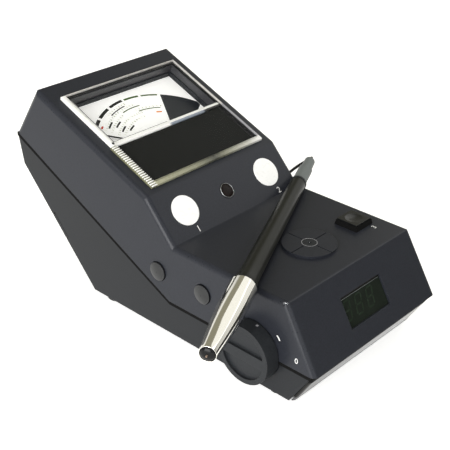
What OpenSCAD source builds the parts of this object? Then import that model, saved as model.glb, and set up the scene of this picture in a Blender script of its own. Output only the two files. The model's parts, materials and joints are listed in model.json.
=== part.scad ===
// Counter-top gem tester: a wedge case with a panel meter, two reference discs, a round test
// plate, a numeric display, side buttons, a turn knob and a wired probe pen lying on the deck.
// Millimetres, +Z up, +Y to the back, +X to the right of a person at the front.
// The origin lies on the table, under the middle of the flat underside.

/* [Case] */
// Width of the case across the meter face
case_w = 88; // [84:0.5:95]
// Length of the flat underside
base_len = 126.3; // [122:0.1:134]
// Width of the underside
base_w = 89.4; // [87:0.2:90]
// Height of the front deck above the table
deck_h = 48.8; // [46:0.2:53]
// Length of the front deck
deck_len = 65.2; // [63:0.2:70]
// How far the deck's front edge lies behind the front of the underside
deck_setback = 4.6; // [3:0.1:7]
// Slope of the front face
front_slope = 59; // [56:0.5:63]
// Length of the middle face that holds the reference discs
mid_len = 25.4; // [23:0.1:29]
// Slope of the middle face
mid_slope = 47.2; // [44:0.1:52]
// Length of the meter face
meter_len = 81.6; // [79:0.2:88]
// Slope of the meter face
meter_slope = 21.9; // [19:0.1:25]
// Length of the sloping back
back_len = 30.8; // [28:0.2:33]
// Slope of the back, measured down from level
back_slope = 57; // [53:0.5:61]
// Height of the rear wall under the parting line
rear_wall_h = 17; // [15:0.5:20]
// Lean of the rear wall
rear_lean = 11.5; // [7:0.5:14]
// Height of the parting line at the front
part_h = 20; // [18:0.5:22]
// Where the parting line starts to rise, from the front of the underside
part_bend = 72; // [69:0.5:76]
// Wall thickness of both shells
wall_t = 2.4; // [2:0.1:2.8]
// Draft of the upper shell's side walls
wall_draft = 1.7; // [1.2:0.1:2.4]
// How far the upper shell overhangs the lower one at the front
front_lip = 1.2; // [0.6:0.1:2]
// Radius of the outside edges
edge_r = 2.8; // [1.5:0.1:3.5]
// Radius of the lower shell's edges at the underside and the back
low_edge_r = 0.8; // [0.5:0.1:1.2]
// Radius of the folds between the top faces
fold_r = 1.2; // [0.6:0.1:2]
// Depth and width of the groove along the parting line
groove = 1.2; // [0.8:0.1:1.4]
// Height of the rubber feet under the case
foot_h = 1.8; // [1.5:0.1:3]
// Radius of a foot
foot_r = 5; // [4:0.1:6]
// Inset of the feet from the ends of the underside
foot_inset = 10.5; // [8:0.5:14]

/* [Fasteners] */
// Radius of a case screw
screw_r = 1.5; // [1.2:0.1:1.8]
// Radius of a screw head
screw_head_r = 2.9; // [2.5:0.1:3.2]
// Radius of a screw boss
boss_r = 3.9; // [3.6:0.1:4.2]
// Front screws behind the front of the underside
screw_front = 38.5; // [36:0.5:40]
// Rear screws behind the front of the underside
screw_rear = 104; // [100:0.5:107]

/* [Meter] */
// Width of the clear meter cover
cover_w = 74.6; // [72:0.2:77]
// Length of the clear meter cover along the face
cover_len = 68; // [66:0.2:71]
// Gap from the fold to the meter cover
cover_gap = 2.8; // [2.4:0.1:4]
// How far the meter cover stands proud
cover_t = 1.8; // [1.4:0.1:2.4]
// Border of the cover round its skirt
cover_rim = 1.6; // [1.2:0.1:2.2]
// Thickness of the cover's skirt
skirt_t = 1.2; // [1:0.1:1.6]
// Depth of the dial under the meter face
dial_depth = 6.5; // [5.5:0.1:7.5]
// Depth of the meter movement's housing
meter_depth = 21; // [19:0.2:22]
// Length of the dark plate over the movement
plate_len = 26.6; // [25:0.2:28]
// Length of the pointer from its pivot
pointer_len = 40; // [36:0.2:41]
// Swing of the pointer from stop to stop
pointer_swing = 100; // [80:1:104]

/* [Controls] */
// Radius of the white reference discs
disc_r = 7.3; // [6.5:0.1:8]
// Distance between the reference discs
disc_spacing = 55.8; // [52:0.2:60]
// How far the discs and the lamp stand proud
trim_proud = 0.4; // [0.3:0.1:0.8]
// Radius of the ready lamp
lamp_r = 3.3; // [2.8:0.1:3.6]
// Radius of the round test plate
plate_r = 12.6; // [11.5:0.1:13.2]
// Test plate centre behind the deck's front edge
plate_back = 23.4; // [22:0.2:25]
// How far the test plate stands proud
plate_proud = 1.2; // [0.8:0.1:1.6]
// Side of the square display button
key_size = 11; // [10:0.2:12]
// Display button centre to the right of the middle
key_x = 29.8; // [28:0.2:31]
// Display button centre behind the deck's front edge
key_back = 21; // [19:0.2:24]
// Height of the display button over the deck
key_proud = 3; // [2.4:0.1:3.6]
// Travel of the display button
key_travel = 1.2; // [0.8:0.1:1.4]
// Width of the display window
lcd_w = 28.4; // [25:0.2:31]
// Height of the display window along the front face
lcd_len = 14.4; // [13:0.2:16]
// Display window centre over the parting line, along the front face
lcd_up = 15.9; // [14:0.1:17]
// Radius of the two side buttons
side_key_r = 4.6; // [4:0.1:5.2]
// Height of the side buttons above the table
side_key_h = 33; // [31:0.2:34]
// Rear side button behind the front of the underside
side_key_rear = 79.1; // [77:0.1:81]
// Front side button behind the front of the underside
side_key_front = 51; // [50:0.1:54]
// How far a side button stands proud
side_key_proud = 1.5; // [1:0.1:2]
// Travel of a side button
side_key_travel = 1; // [0.7:0.1:1.2]
// Radius of the turn knob
knob_r = 14; // [12:0.2:14.6]
// Height of the turn knob
knob_h = 7.2; // [6:0.2:9]
// Knob axis behind the front of the underside
knob_back = 20.1; // [19:0.1:22]
// Width of the grip bar across the knob
knob_bar = 5; // [4:0.2:6]
// Depth of the finger recesses beside the bar
knob_recess = 1.3; // [0.8:0.1:3]
// Radius of the knob's shaft
knob_shaft_r = 3; // [2.5:0.1:3.2]

/* [Battery bay] */
// Radius of a round cell
cell_r = 7.2; // [7:0.05:7.3]
// Length of a round cell
cell_len = 50.5; // [49:0.1:51.5]
// Number of cells
cells = 4; // [3:1:4]
// Thickness of the battery door
door_t = 2; // [1.8:0.1:2.4]
// Ledge that the door rests on, round the bay
door_ledge = 1.7; // [1.3:0.1:2]
// Length of the door's grips on the side walls
grip_len = 13; // [11:0.5:16]
// How far the grips reach up the side walls
grip_h = 2.4; // [2:0.1:4]

/* [Probe] */
// Radius of the barrel at the sleeve
barrel_r = 4.4; // [4:0.1:4.8]
// Radius of the barrel at the tail
barrel_tail_r = 3.9; // [3.5:0.1:4.2]
// Length of the barrel that shows
barrel_len = 98.6; // [92:0.2:104]
// Radius of the metal sleeve
sleeve_r = 6.1; // [5.7:0.1:6.5]
// Length of the metal sleeve
sleeve_len = 48; // [44:0.5:52]
// Straight length of the metal sleeve before its taper
sleeve_straight = 10; // [8:0.5:14]
// Radius of the sleeve's mouth
mouth_r = 3.5; // [3.3:0.1:4]
// Radius of the tail cap
tail_r = 3.5; // [3.3:0.1:3.8]
// Length of the tail cap
tail_len = 17; // [15:0.5:20]
// Radius of the cable boot
boot_r = 2.9; // [2.6:0.1:3.2]
// Length of the cable boot
boot_len = 11; // [9:0.5:13]
// Radius of the probe tip
tip_r = 0.8; // [0.6:0.05:1]
// How far the tip stands out of the nose
tip_out = 1.8; // [1.4:0.1:2.4]
// Travel of the sprung tip
tip_travel = 1.2; // [0.8:0.1:1.3]
// Turn of the pen on the deck, seen from above
pen_turn = 26.4; // [24:0.1:29]

/* [Lead] */
// Diameter of the probe's lead
lead_d = 1.6; // [1.2:0.1:1.8]
// Loops in each layer of the stored coil
coil_loops = 4; // [2:1:5]
// Radius of the coil at the middle of its turns
coil_r = 9; // [8:0.5:10]

/* [Hidden] */

$fn = 64;
eps = 0.01;
// Running gap between a moving control and its hole
run_gap = 0.25;
// Running fit of a shaft in its bush
shaft_gap = 0.05;
// Gap under a round piece that lies on a flat one
rest_gap = 0.3;
// Clearance of a fitted piece in its cut-out
fit_gap = 0.3;
draft = tan(wall_draft);

// Side profile of the case, as points of (y, z)
front_y = -base_len / 2;
function along(p, len, slope) = p + len * [cos(slope), sin(slope)];
deck_front = [front_y + deck_setback, deck_h];
deck_back = along(deck_front, deck_len, 0);
fold = along(deck_back, mid_len, mid_slope);
top_back = along(fold, meter_len, meter_slope);
part_rear = along(top_back, back_len, -back_slope);
part_front = [deck_front.x - (deck_h - part_h) / tan(front_slope), part_h];
part_knee = [front_y + part_bend, part_h];
part_slope = atan2(part_rear.y - part_h, part_rear.x - part_knee.x);
rear_low = along(part_rear, rear_wall_h, -90 - rear_lean);
base_rear = [base_len / 2, foot_h];
base_front = [front_y, foot_h];
lip_front = part_front + [front_lip, 0];
under_slope = atan2(rear_low.y - foot_h, rear_low.x - base_rear.x);
under_len = norm(rear_low - base_rear);
upper_profile = [part_front, deck_front, deck_back, fold, top_back, part_rear, part_knee];
lower_profile = [lip_front, part_knee, part_rear, rear_low, base_rear, base_front];

// Half widths: the side walls spread from the meter face down to the parting line
half_w = case_w / 2;
deck_half_w = half_w + draft * mid_len * sin(mid_slope - meter_slope);
knob_half_w = deck_half_w + draft * (deck_h - part_h);
inner_half_w = half_w - wall_t;
base_half_w = base_w / 2;
low_inner_half_w = base_half_w - wall_t;
// The lower shell's walls meet the upper ones at the rear end of the parting line
meter_normal = [-sin(meter_slope), cos(meter_slope)];
part_rear_half_w = half_w - draft * ((part_rear - fold) * meter_normal);
low_draft = (part_rear_half_w - base_half_w) / (part_rear.y - foot_h);
function front_wall_x(z) = deck_half_w + draft * (deck_h - z);
function rear_wall_x(y, z) = half_w - draft * (([y, z] - fold) * meter_normal);
function low_wall_x(z) = base_half_w + low_draft * (z - foot_h);
function part_z(y) = part_h + max(0, y - part_knee.x) * tan(part_slope);

// The rear block of the upper shell starts where its walls and the front block's walls cross
function seam_at(z) = [deck_back.x + (deck_h - z) * tan(meter_slope / 2), z];
seam_in = 3;
reach = 200;

// Inset of a closed profile, one distance for each edge, from a point to the next one
function edge_dir(poly, i) = let (v = poly[(i + 1) % len(poly)] - poly[i]) v / norm(v);
function edge_in(poly, i) = let (d = edge_dir(poly, i)) [d.y, -d.x];
function inset_corner(poly, d, i) =
  let (
    h = (i + len(poly) - 1) % len(poly),
    a = poly[i] + d[h] * edge_in(poly, h),
    u = edge_dir(poly, h),
    b = poly[i] + d[i] * edge_in(poly, i),
    v = edge_dir(poly, i)
  )
  a + u * ((b - a).x * v.y - (b - a).y * v.x) / (u.x * v.y - u.y * v.x);
function inset(poly, d) = [for (i = [0:len(poly) - 1]) inset_corner(poly, d, i)];

// Frames of the faces: local X across, local Y up along the face, local Z outwards
module on_face(corner, slope, up = 0) {
  translate([0, corner.x, corner.y]) rotate([slope, 0, 0]) translate([0, up, 0]) children();
}
module on_deck(x, back) {
  translate([x, deck_front.x + back, deck_h]) children();
}
module on_left_wall(y, z, x) {
  translate([x, y, z]) rotate([0, -90, 0]) children();
}
module on_underside(up = 0) {
  translate([0, base_rear.x, base_rear.y]) rotate([under_slope, 0, 0]) translate([0, up, 0])
    mirror([0, 0, 1]) children();
}
module both_sides() {
  children();
  mirror([1, 0, 0]) children();
}
module profile_block(profile, half) {
  rotate([90, 0, 90]) translate([0, 0, -half]) linear_extrude(2 * half) polygon(profile);
}
module centred_box(size, z = 0) {
  translate([-size.x / 2, -size.y / 2, z]) cube(size);
}
// A cut right through the wall of a face
module opening(w, len) {
  centred_box([w, len, 4 * wall_t], -2 * wall_t);
}
// A plate with round corners, standing on local Z = 0
module rounded_plate(w, len, t, r) {
  union() {
    centred_box([w - 2 * r, len, t]);
    centred_box([w, len - 2 * r, t]);
    for (x = [-1, 1], y = [-1, 1]) translate([x * (w / 2 - r), y * (len / 2 - r), 0]) cylinder(r = r, h = t);
  }
}

// Outside rounding of the edge between two faces with the normals face_n and wall_n, through point p.
// The arc stands a little proud of a true tangent, so that it crosses both faces cleanly.
arc_ease = 0.02;
module edge_cut(p, face_n, wall_n, r) {
  m = face_n / norm(face_n);
  w = wall_n / norm(wall_n);
  e = cross(w, m) / norm(cross(w, m));
  b = cross(m, e);
  c = [w * b, w * m];
  centre = -(r - arc_ease) * [c.x, 1 + c.y] / (1 + c.y);
  over = 0.5;
  multmatrix([[b.x, m.x, e.x, p.x], [b.y, m.y, e.y, p.y], [b.z, m.z, e.z, p.z], [0, 0, 0, 1]])
    translate([0, 0, -reach]) linear_extrude(2 * reach) difference() {
      polygon([
        centre,
        centre + [0, r + over],
        over * [c.x, 1 + c.y] / (1 + c.y),
        centre + (r + over) * c
      ]);
      translate(centre) circle(r);
    }
}
function face_normal(slope) = [0, -sin(slope), cos(slope)];
front_wall_n = [1, 0, draft];
rear_wall_n = [1, -draft * sin(meter_slope), draft * cos(meter_slope)];
low_wall_n = [1, 0, -low_draft];
deck_n = [0, 0, 1];
back_n = face_normal(-back_slope);

// Outside of the upper shell: the front block carries the deck, the rear block the meter
block_low = part_h - wall_t;
module upper_front_block() {
  top = deck_h + wall_t;
  difference() {
    intersection() {
      profile_block([
        along(deck_front, -(deck_h - block_low) / sin(front_slope), front_slope),
        deck_front,
        deck_back + [seam_in, 0],
        seam_at(block_low) + [seam_in, 0]
      ], reach / 2);
      translate([0, reach, 0]) rotate([90, 0, 0]) linear_extrude(2 * reach) polygon([
        [-front_wall_x(block_low), block_low], [front_wall_x(block_low), block_low],
        [front_wall_x(top), top], [-front_wall_x(top), top]
      ]);
    }
    both_sides() {
      edge_cut([deck_half_w, deck_back.x, deck_h], deck_n, front_wall_n, edge_r);
      edge_cut([deck_half_w, deck_front.x, deck_h], face_normal(front_slope), front_wall_n, edge_r);
    }
    edge_cut([0, deck_front.x, deck_h], deck_n, face_normal(front_slope), fold_r);
  }
}
module upper_rear_block() {
  low = -meter_len;
  difference() {
    intersection() {
      profile_block([
        deck_back, fold, top_back,
        along(top_back, 2 * back_len, -back_slope),
        seam_at(block_low)
      ], reach / 2);
      on_face(fold, meter_slope) translate([0, reach, 0]) rotate([90, 0, 0])
        linear_extrude(2 * reach) polygon([
          [-half_w + draft * low, low], [half_w - draft * low, low],
          [half_w - draft * wall_t, wall_t], [-half_w + draft * wall_t, wall_t]
        ]);
    }
    both_sides() {
      edge_cut([half_w, fold.x, fold.y], face_normal(meter_slope), rear_wall_n, edge_r);
      edge_cut([half_w, fold.x, fold.y], face_normal(mid_slope), rear_wall_n, edge_r);
      edge_cut([half_w, top_back.x, top_back.y],
        back_n, rear_wall_n, edge_r);
    }
    edge_cut([0, fold.x, fold.y], face_normal(meter_slope), face_normal(mid_slope), fold_r);
    edge_cut([0, top_back.x, top_back.y], face_normal(meter_slope), back_n, fold_r);
  }
}
module upper_outside() {
  intersection() {
    union() {
      upper_front_block();
      upper_rear_block();
    }
    profile_block(upper_profile, reach / 2);
  }
}
// The hollow runs on through the parting line
open_over = 5;
module upper_hollow() {
  w = wall_t;
  profile_block(inset(upper_profile, [w, w, w, w, w, -open_over, -open_over]), inner_half_w);
}

// Screw bosses stand against the side walls
boss_sink = 0.6;
boss_x = low_inner_half_w - boss_r + boss_sink;
boss_ys = [front_y + screw_front, front_y + screw_rear];
boss_grip = 10;
rear_boss_up = 12;
screw_bite = 8;
screw_clear = 0.2;
head_h = 2.2;
head_clear = 0.3;
cross_slot = [0.9, 3.6, 1.2];
module at_bosses() {
  both_sides() for (y = boss_ys) translate([boss_x, y, part_z(y)]) children();
}

// Places of the controls
mid_up = mid_len / 2;
bezel_t = 0.6;
lamp_tail = 1;
lamp_out_r = lamp_r + bezel_t;
disc_seat = 1.5;
spigot_step = 2.2;
plate_spigot_r = plate_r - spigot_step;
window_r = 3.4;
side_key_ys = [front_y + side_key_front, front_y + side_key_rear];
side_key_flange = 1.1;
side_key_nub = 0.6;
side_switch_h = 3.5;
switch_play = 0.1;
side_board_t = 1.6;
side_board_w = 10;
side_board_edge = 4;
side_switch_x = inner_half_w - side_key_flange - side_key_nub - side_key_travel - switch_play;
side_board_x = side_switch_x - side_switch_h;
side_post_r = 2;
side_post_ys = [for (d = [-5, 5]) (side_key_ys[0] + side_key_ys[1]) / 2 + d];
knob_y = front_y + knob_back;
knob_gap = 0.35;
knob_base_x = knob_half_w + knob_gap;
bush_t = 1.5;
bush_r = knob_shaft_r + bush_t;
cover_mid = cover_gap + cover_len / 2;
skirt_w = cover_w - 2 * cover_rim;
skirt_len = cover_len - 2 * cover_rim;
skirt_h = 4;
cover_corner_r = 1.6;
well_w = skirt_w - 2 * skirt_t;
well_len = skirt_len - 2 * skirt_t;
well_front = cover_mid - well_len / 2;
split = well_front + plate_len;

module knob_bore(r) {
  on_left_wall(knob_y, part_h, -inner_half_w + eps)
    cylinder(r = r, h = 2 * wall_t + knob_half_w - inner_half_w);
}

module upper_shell() {
  color("#3a3c40") difference() {
    union() {
      difference() {
        upper_outside();
        upper_hollow();
      }
      intersection() {
        union() {
          both_sides() translate([boss_x, boss_ys[0], part_h]) cylinder(r = boss_r, h = deck_h - part_h);
          both_sides() translate([boss_x, boss_ys[1], block_low])
            cylinder(r = boss_r, h = part_z(boss_ys[1]) - block_low + rear_boss_up);
          for (y = side_post_ys) translate([-inner_half_w - eps, y, side_key_h]) rotate([0, 90, 0])
            cylinder(r = side_post_r, h = inner_half_w - side_board_x + eps);
        }
        upper_outside();
      }
    }
    at_bosses() translate([0, 0, -boss_grip]) cylinder(r = screw_r, h = boss_grip + screw_bite);
    on_face(fold, meter_slope, cover_mid) opening(skirt_w + 2 * fit_gap, skirt_len + 2 * fit_gap);
    on_face(deck_back, mid_slope, mid_up) {
      for (x = [-1, 1] * disc_spacing / 2) translate([x, 0, -disc_seat])
        cylinder(r = disc_r, h = 2 * disc_seat);
      translate([0, 0, -2 * wall_t]) cylinder(r = lamp_out_r, h = 4 * wall_t);
    }
    on_deck(0, plate_back) translate([0, 0, -2 * wall_t]) cylinder(r = plate_spigot_r, h = 4 * wall_t);
    on_deck(key_x, key_back) opening(key_size + 2 * run_gap, key_size + 2 * run_gap);
    on_face(part_front, front_slope, lcd_up) opening(lcd_w, lcd_len);
    for (y = side_key_ys) on_left_wall(y, side_key_h, -inner_half_w + wall_t)
      cylinder(r = side_key_r + run_gap, h = 4 * wall_t);
    knob_bore(bush_r);
  }
}

// Battery bay in the sloping underside, its door and its cells
cell_gap = 0.4;
cell_cap_r = 2.7;
cell_cap_h = 1.2;
contact_room = 3;
contact_t = 0.6;
contact_side = 10;
contact_r = 2;
contact_base_r = 3.6;
bay_wall = 1.6;
bay_w = cell_len + 2 * contact_room;
bay_len = cells * (2 * cell_r + cell_gap) + cell_gap;
bay_depth = 2 * cell_r + cell_gap;
door_w = bay_w + 2 * door_ledge;
door_len = bay_len + 2 * door_ledge;
bay_mid = under_len / 2;
grip_t = 1.2;
grip_end_gap = 0.7;
hinge_from_mid = door_t / 2 - door_len / 2;

module lower_outside() {
  z0 = foot_h - wall_t;
  z1 = part_rear.y + wall_t;
  front_low_n = face_normal(180 + atan2(part_h - foot_h, lip_front.x - base_front.x));
  under_n = [0, sin(under_slope), -cos(under_slope)];
  rear_n = [0, cos(rear_lean), -sin(rear_lean)];
  base_n = [0, 0, -1];
  difference() {
    intersection() {
      profile_block(lower_profile, reach / 2);
      translate([0, reach, 0]) rotate([90, 0, 0]) linear_extrude(2 * reach) polygon([
        [-low_wall_x(z0), z0], [low_wall_x(z0), z0], [low_wall_x(z1), z1], [-low_wall_x(z1), z1]
      ]);
    }
    both_sides() {
      edge_cut([base_half_w, base_rear.x, foot_h], base_n, low_wall_n, low_edge_r);
      edge_cut([base_half_w, base_rear.x, foot_h], under_n, low_wall_n, low_edge_r);
      edge_cut([base_half_w, base_front.x, foot_h], front_low_n, low_wall_n, edge_r);
      edge_cut([low_wall_x(rear_low.y), rear_low.x, rear_low.y], rear_n, low_wall_n, low_edge_r);
    }
    edge_cut([0, base_rear.x, foot_h], base_n, under_n, edge_r);
    edge_cut([0, base_front.x, foot_h], base_n, front_low_n, low_edge_r);
    edge_cut([0, rear_low.x, rear_low.y], under_n, rear_n, low_edge_r);
  }
}
// Space of the grips at the door's two sides, grown by a gap all round and by a wider one at their ends
module grip_space(gap, end_gap) {
  inner = door_w / 2 - door_ledge;
  both_sides() on_underside(bay_mid) {
    translate([inner, -grip_len / 2 - end_gap, -grip_t - gap])
      cube([reach / 2, grip_len + 2 * end_gap, reach / 20]);
    translate([base_half_w - grip_t - gap, -grip_len / 2 - end_gap, -grip_h - gap])
      cube([reach / 2, grip_len + 2 * end_gap, reach / 20]);
  }
}
module door_panel(gap) {
  on_underside(bay_mid) {
    translate([-door_w / 2 - gap, hinge_from_mid, -door_t])
      cube([door_w + 2 * gap, door_len - door_t / 2 + gap, door_t + gap]);
    translate([-door_w / 2 - gap, hinge_from_mid, -door_t / 2]) rotate([0, 90, 0])
      cylinder(r = door_t / 2 + gap, h = door_w + 2 * gap);
  }
}
module battery_door() {
  color("#45484a") union() {
    door_panel(0);
    intersection() {
      grip_space(0, 0);
      lower_outside();
    }
  }
}

// Posts under the main board
board_t = 1.6;
board_z = 30;
board_gap = 0.4;
board_setback = 12.8;
board_left = side_board_t + 4 * board_gap - side_board_x;
board_right = boss_x - boss_r - board_gap;
board_front = front_y + board_setback;
board_back = fold.x + 4 * board_t;
post_r = 2.4;
post_inset = 5;
posts = [for (x = [board_left + post_inset, board_right - post_inset],
  y = [board_front + post_inset, board_back - post_inset]) [x, y]];
foot_seat = 0.8;
foot_edge = 0.8;
foot_taper = 0.4;
foot_x = base_half_w - foot_r - low_edge_r - foot_edge;
foot_ys = [front_y + foot_inset, -front_y - foot_inset];
gland_y = 58;
gland_z = 26;
gland_r = 2.6;
gland_flange = 1.6;
gland_flange_r = 4;
gland_boot_r = 3;
gland_end_r = 1.4;

module lower_shell() {
  w = wall_t;
  groove_low = [for (p = [lip_front, part_knee, part_rear]) p - [0, groove]];
  color("#3f4244") difference() {
    union() {
      difference() {
        lower_outside();
        profile_block(inset(lower_profile, [-open_over, -open_over, w, w, w, w]), low_inner_half_w);
      }
      intersection() {
        at_bosses() translate([0, 0, -reach]) cylinder(r = boss_r, h = 2 * reach);
        lower_outside();
      }
      for (p = posts) translate([p.x, p.y, foot_h + wall_t / 2])
        cylinder(r = post_r, h = board_z - foot_h - wall_t / 2);
      on_underside(bay_mid) translate([0, 0, -bay_depth - door_t - bay_wall])
        centred_box([
          bay_w + 2 * bay_wall, bay_len + 2 * bay_wall, bay_depth + bay_wall + door_t - wall_t / 2
        ]);
    }
    on_underside(bay_mid) centred_box([bay_w, bay_len, bay_depth + door_t + wall_t], -bay_depth - door_t);
    door_panel(fit_gap);
    grip_space(fit_gap, grip_end_gap);
    difference() {
      profile_block(concat([for (p = [lip_front, part_knee, part_rear]) p + [0, groove]],
        [groove_low[2] + [groove, 0], groove_low[1], groove_low[0] - [groove, 0]]), reach / 2);
      profile_block(
        inset(lower_profile, [-open_over, -open_over, groove, 0, 0, groove]), base_half_w - groove
      );
    }
    at_bosses() {
      translate([0, 0, -boss_grip]) cylinder(r = screw_r + screw_clear, h = 2 * boss_grip);
      translate([0, 0, -boss_grip - reach]) cylinder(r = screw_head_r + head_clear, h = reach);
    }
    both_sides() for (y = foot_ys) translate([foot_x, y, foot_h - 1]) cylinder(r = foot_r, h = foot_seat + 1);
    translate([low_inner_half_w - 1, gland_y, gland_z]) rotate([0, 90, 0])
      cylinder(r = gland_r, h = 3 * wall_t);
    knob_bore(bush_r);
  }
}
module feet() {
  color("#1b1b1c") both_sides() for (y = foot_ys) translate([foot_x, y, 0])
    cylinder(r1 = foot_r - foot_taper, r2 = foot_r, h = foot_h + foot_seat);
}
module case_screws() {
  color("#8d9093") at_bosses() difference() {
    union() {
      translate([0, 0, -boss_grip]) cylinder(r = screw_r, h = boss_grip + screw_bite);
      translate([0, 0, -boss_grip - head_h]) cylinder(r = screw_head_r, h = head_h);
    }
    for (a = [0, 90]) rotate(a) centred_box(cross_slot, -boss_grip - head_h - eps);
  }
}
module battery_cells() {
  color("#c9a13b") on_underside(bay_mid) for (i = [0:cells - 1])
    translate([0, (i - (cells - 1) / 2) * (2 * cell_r + cell_gap), -door_t - cell_r - cell_gap / 2])
      rotate([0, i % 2 == 0 ? 90 : -90, 0]) union() {
        translate([0, 0, -cell_len / 2]) cylinder(r = cell_r, h = cell_len - cell_cap_h);
        translate([0, 0, cell_len / 2 - cell_cap_h - eps]) cylinder(r = cell_cap_r, h = cell_cap_h + eps);
      }
}
module battery_contacts() {
  color("#c8cacc") both_sides() on_underside(bay_mid) for (i = [0:cells - 1])
    translate([bay_w / 2, (i - (cells - 1) / 2) * (2 * cell_r + cell_gap), -door_t - cell_r - cell_gap / 2]) {
      translate([-contact_t, -contact_side / 2, -contact_side / 2])
        cube([contact_t, contact_side, contact_side]);
      translate([-contact_room, 0, 0]) rotate([0, 90, 0])
        cylinder(r1 = contact_r, r2 = contact_base_r, h = contact_room - contact_t);
    }
}

// Panel meter, in the frame of its sloping face
module in_meter(z = 0) {
  on_face(fold, meter_slope, cover_mid) translate([0, 0, z]) children();
}
pivot_back = 11.5;
pivot_up = split - pivot_back - cover_mid;
floor_t = 2;
body_wall = 2;
magnet_h = 9;
magnet_in_r = 8.2;
magnet_r = 12;
coil_drum_r = 7.2;
pivot_r = 0.6;
dial_t = 1;
bridge_t = 1.2;
bridge_w = 5;
floor_z = -meter_depth + floor_t;
bridge_z = floor_z + magnet_h;
pivot_seat = 0.8;
pointer_lift = 1.2;
pointer_z = -dial_depth + pointer_lift;
pointer_w = 0.8;
pointer_t = 0.35;
pointer_hub_r = 1.8;
pointer_hub_h = 1;
pointer_tail = 7;
weight_r = 1.6;
drum_gap = 0.5;
module meter_body() {
  color("#2a2c2f") difference() {
    in_meter(-meter_depth) centred_box([skirt_w, skirt_len, meter_depth - skirt_h]);
    in_meter(-dial_depth - dial_t) centred_box([well_w, well_len, meter_depth]);
    in_meter(floor_z) centred_box([well_w - 2 * body_wall, well_len - 2 * body_wall, meter_depth]);
    in_meter(floor_z - pivot_seat - shaft_gap) translate([0, pivot_up, 0])
      cylinder(r = pivot_r + shaft_gap, h = floor_t);
  }
}
module meter_cover() {
  color("#dfe6e8", 0.4) in_meter() difference() {
    union() {
      rounded_plate(cover_w, cover_len, cover_t, cover_corner_r);
      translate([0, 0, -skirt_h]) centred_box([skirt_w, skirt_len, skirt_h + eps]);
    }
    centred_box([well_w, well_len, skirt_h + 2], -skirt_h - 2);
  }
}
dial_tuck = 6;
dial_front = split - dial_tuck;
dial_len = well_front + well_len - dial_front;
module meter_dial() {
  color("#f4f3ee") in_meter(-dial_depth - dial_t)
    translate([0, dial_front + dial_len / 2 - cover_mid, 0]) centred_box([well_w, dial_len, dial_t]);
}
plate_t = 1;
module meter_plate() {
  color("#121314") in_meter() {
    union() {
      translate([0, well_front + plate_len / 2 - cover_mid, -plate_t])
        centred_box([well_w, plate_len, plate_t]);
      translate([0, split - plate_t / 2 - cover_mid, -skirt_h]) centred_box([well_w, plate_t, skirt_h]);
    }
  }
}
module meter_magnet() {
  color("#6d7073") in_meter(floor_z) translate([0, pivot_up, 0]) difference() {
    cylinder(r = magnet_r, h = magnet_h);
    translate([0, 0, -1]) cylinder(r = magnet_in_r, h = magnet_h + 2);
  }
}
module meter_bridge() {
  color("#b99a4a") in_meter(bridge_z) translate([0, pivot_up, 0]) difference() {
    rounded_plate(2 * magnet_r - 2, bridge_w, bridge_t, bridge_t);
    translate([0, 0, -1]) cylinder(r = pivot_r + shaft_gap, h = bridge_t + 2);
  }
}
module meter_pointer() {
  color("#1a1a1a") in_meter() translate([0, pivot_up, 0]) rotate(pointer_swing / 2) union() {
    translate([0, 0, floor_z - pivot_seat]) cylinder(r = pivot_r, h = pointer_z + pivot_seat - floor_z);
    translate([0, 0, floor_z + drum_gap]) cylinder(r = coil_drum_r, h = magnet_h - 2 * drum_gap);
    translate([0, 0, pointer_z + pointer_t - pointer_hub_h]) cylinder(r = pointer_hub_r, h = pointer_hub_h);
    translate([-pointer_w / 2, -pointer_tail, pointer_z])
      cube([pointer_w, pointer_tail + pointer_len, pointer_t]);
    translate([0, -pointer_tail, pointer_z]) cylinder(r = weight_r, h = pointer_t);
  }
}

// Middle face
module reference_disc(side) {
  color("#f2f4f4") on_face(deck_back, mid_slope, mid_up)
    translate([side * disc_spacing / 2, 0, -disc_seat]) cylinder(r = disc_r, h = disc_seat + trim_proud);
}
module left_disc() {
  reference_disc(-1);
}
module right_disc() {
  reference_disc(1);
}
module lamp_bezel() {
  len = wall_t + lamp_tail + trim_proud;
  color("#5b5e62") on_face(deck_back, mid_slope, mid_up) translate([0, 0, -wall_t - lamp_tail]) difference() {
    cylinder(r = lamp_out_r, h = len);
    translate([0, 0, -1]) cylinder(r = lamp_r, h = len + 2);
  }
}
module lamp_lens() {
  dome_r = 2 * lamp_r;
  len = wall_t + 3 * lamp_tail;
  color("#2a0f12") on_face(deck_back, mid_slope, mid_up) translate([0, 0, -len]) intersection() {
    cylinder(r = lamp_r, h = len);
    translate([0, 0, len - dome_r]) sphere(r = dome_r);
  }
}

// Front deck
plate_groove = 0.5;
plate_hub = 0.6;
eye_r = 0.6;
eye_rim = 0.4;
eye_depth = 0.5;
sensor_r = 4.6;
sensor_bore_r = 1.5;
sensor_floor = 2;
module test_plate() {
  color("#2c2e2f") on_deck(0, plate_back) difference() {
    union() {
      cylinder(r = plate_r, h = plate_proud);
      translate([0, 0, -wall_t]) cylinder(r = plate_spigot_r, h = wall_t + eps);
    }
    for (a = [0:90:270]) rotate(a)
      translate([window_r + plate_hub, -plate_groove / 2, plate_proud - plate_groove])
        cube([plate_r, plate_groove, plate_groove + 1]);
    translate([0, 0, -2 * wall_t]) cylinder(r = window_r, h = 4 * wall_t);
  }
}
window_tail = 1;
window_h = wall_t + window_tail + plate_proud;
module test_window() {
  color("#4a4d50") on_deck(0, plate_back) translate([0, 0, -wall_t - window_tail]) difference() {
    cylinder(r = window_r, h = window_h);
    translate([0, 0, -1]) cylinder(r = eye_r, h = window_h + 2);
    translate([0, 0, window_h - eye_depth]) cylinder(r1 = eye_r, r2 = eye_r + eye_rim, h = eye_depth + eps);
  }
}
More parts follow.
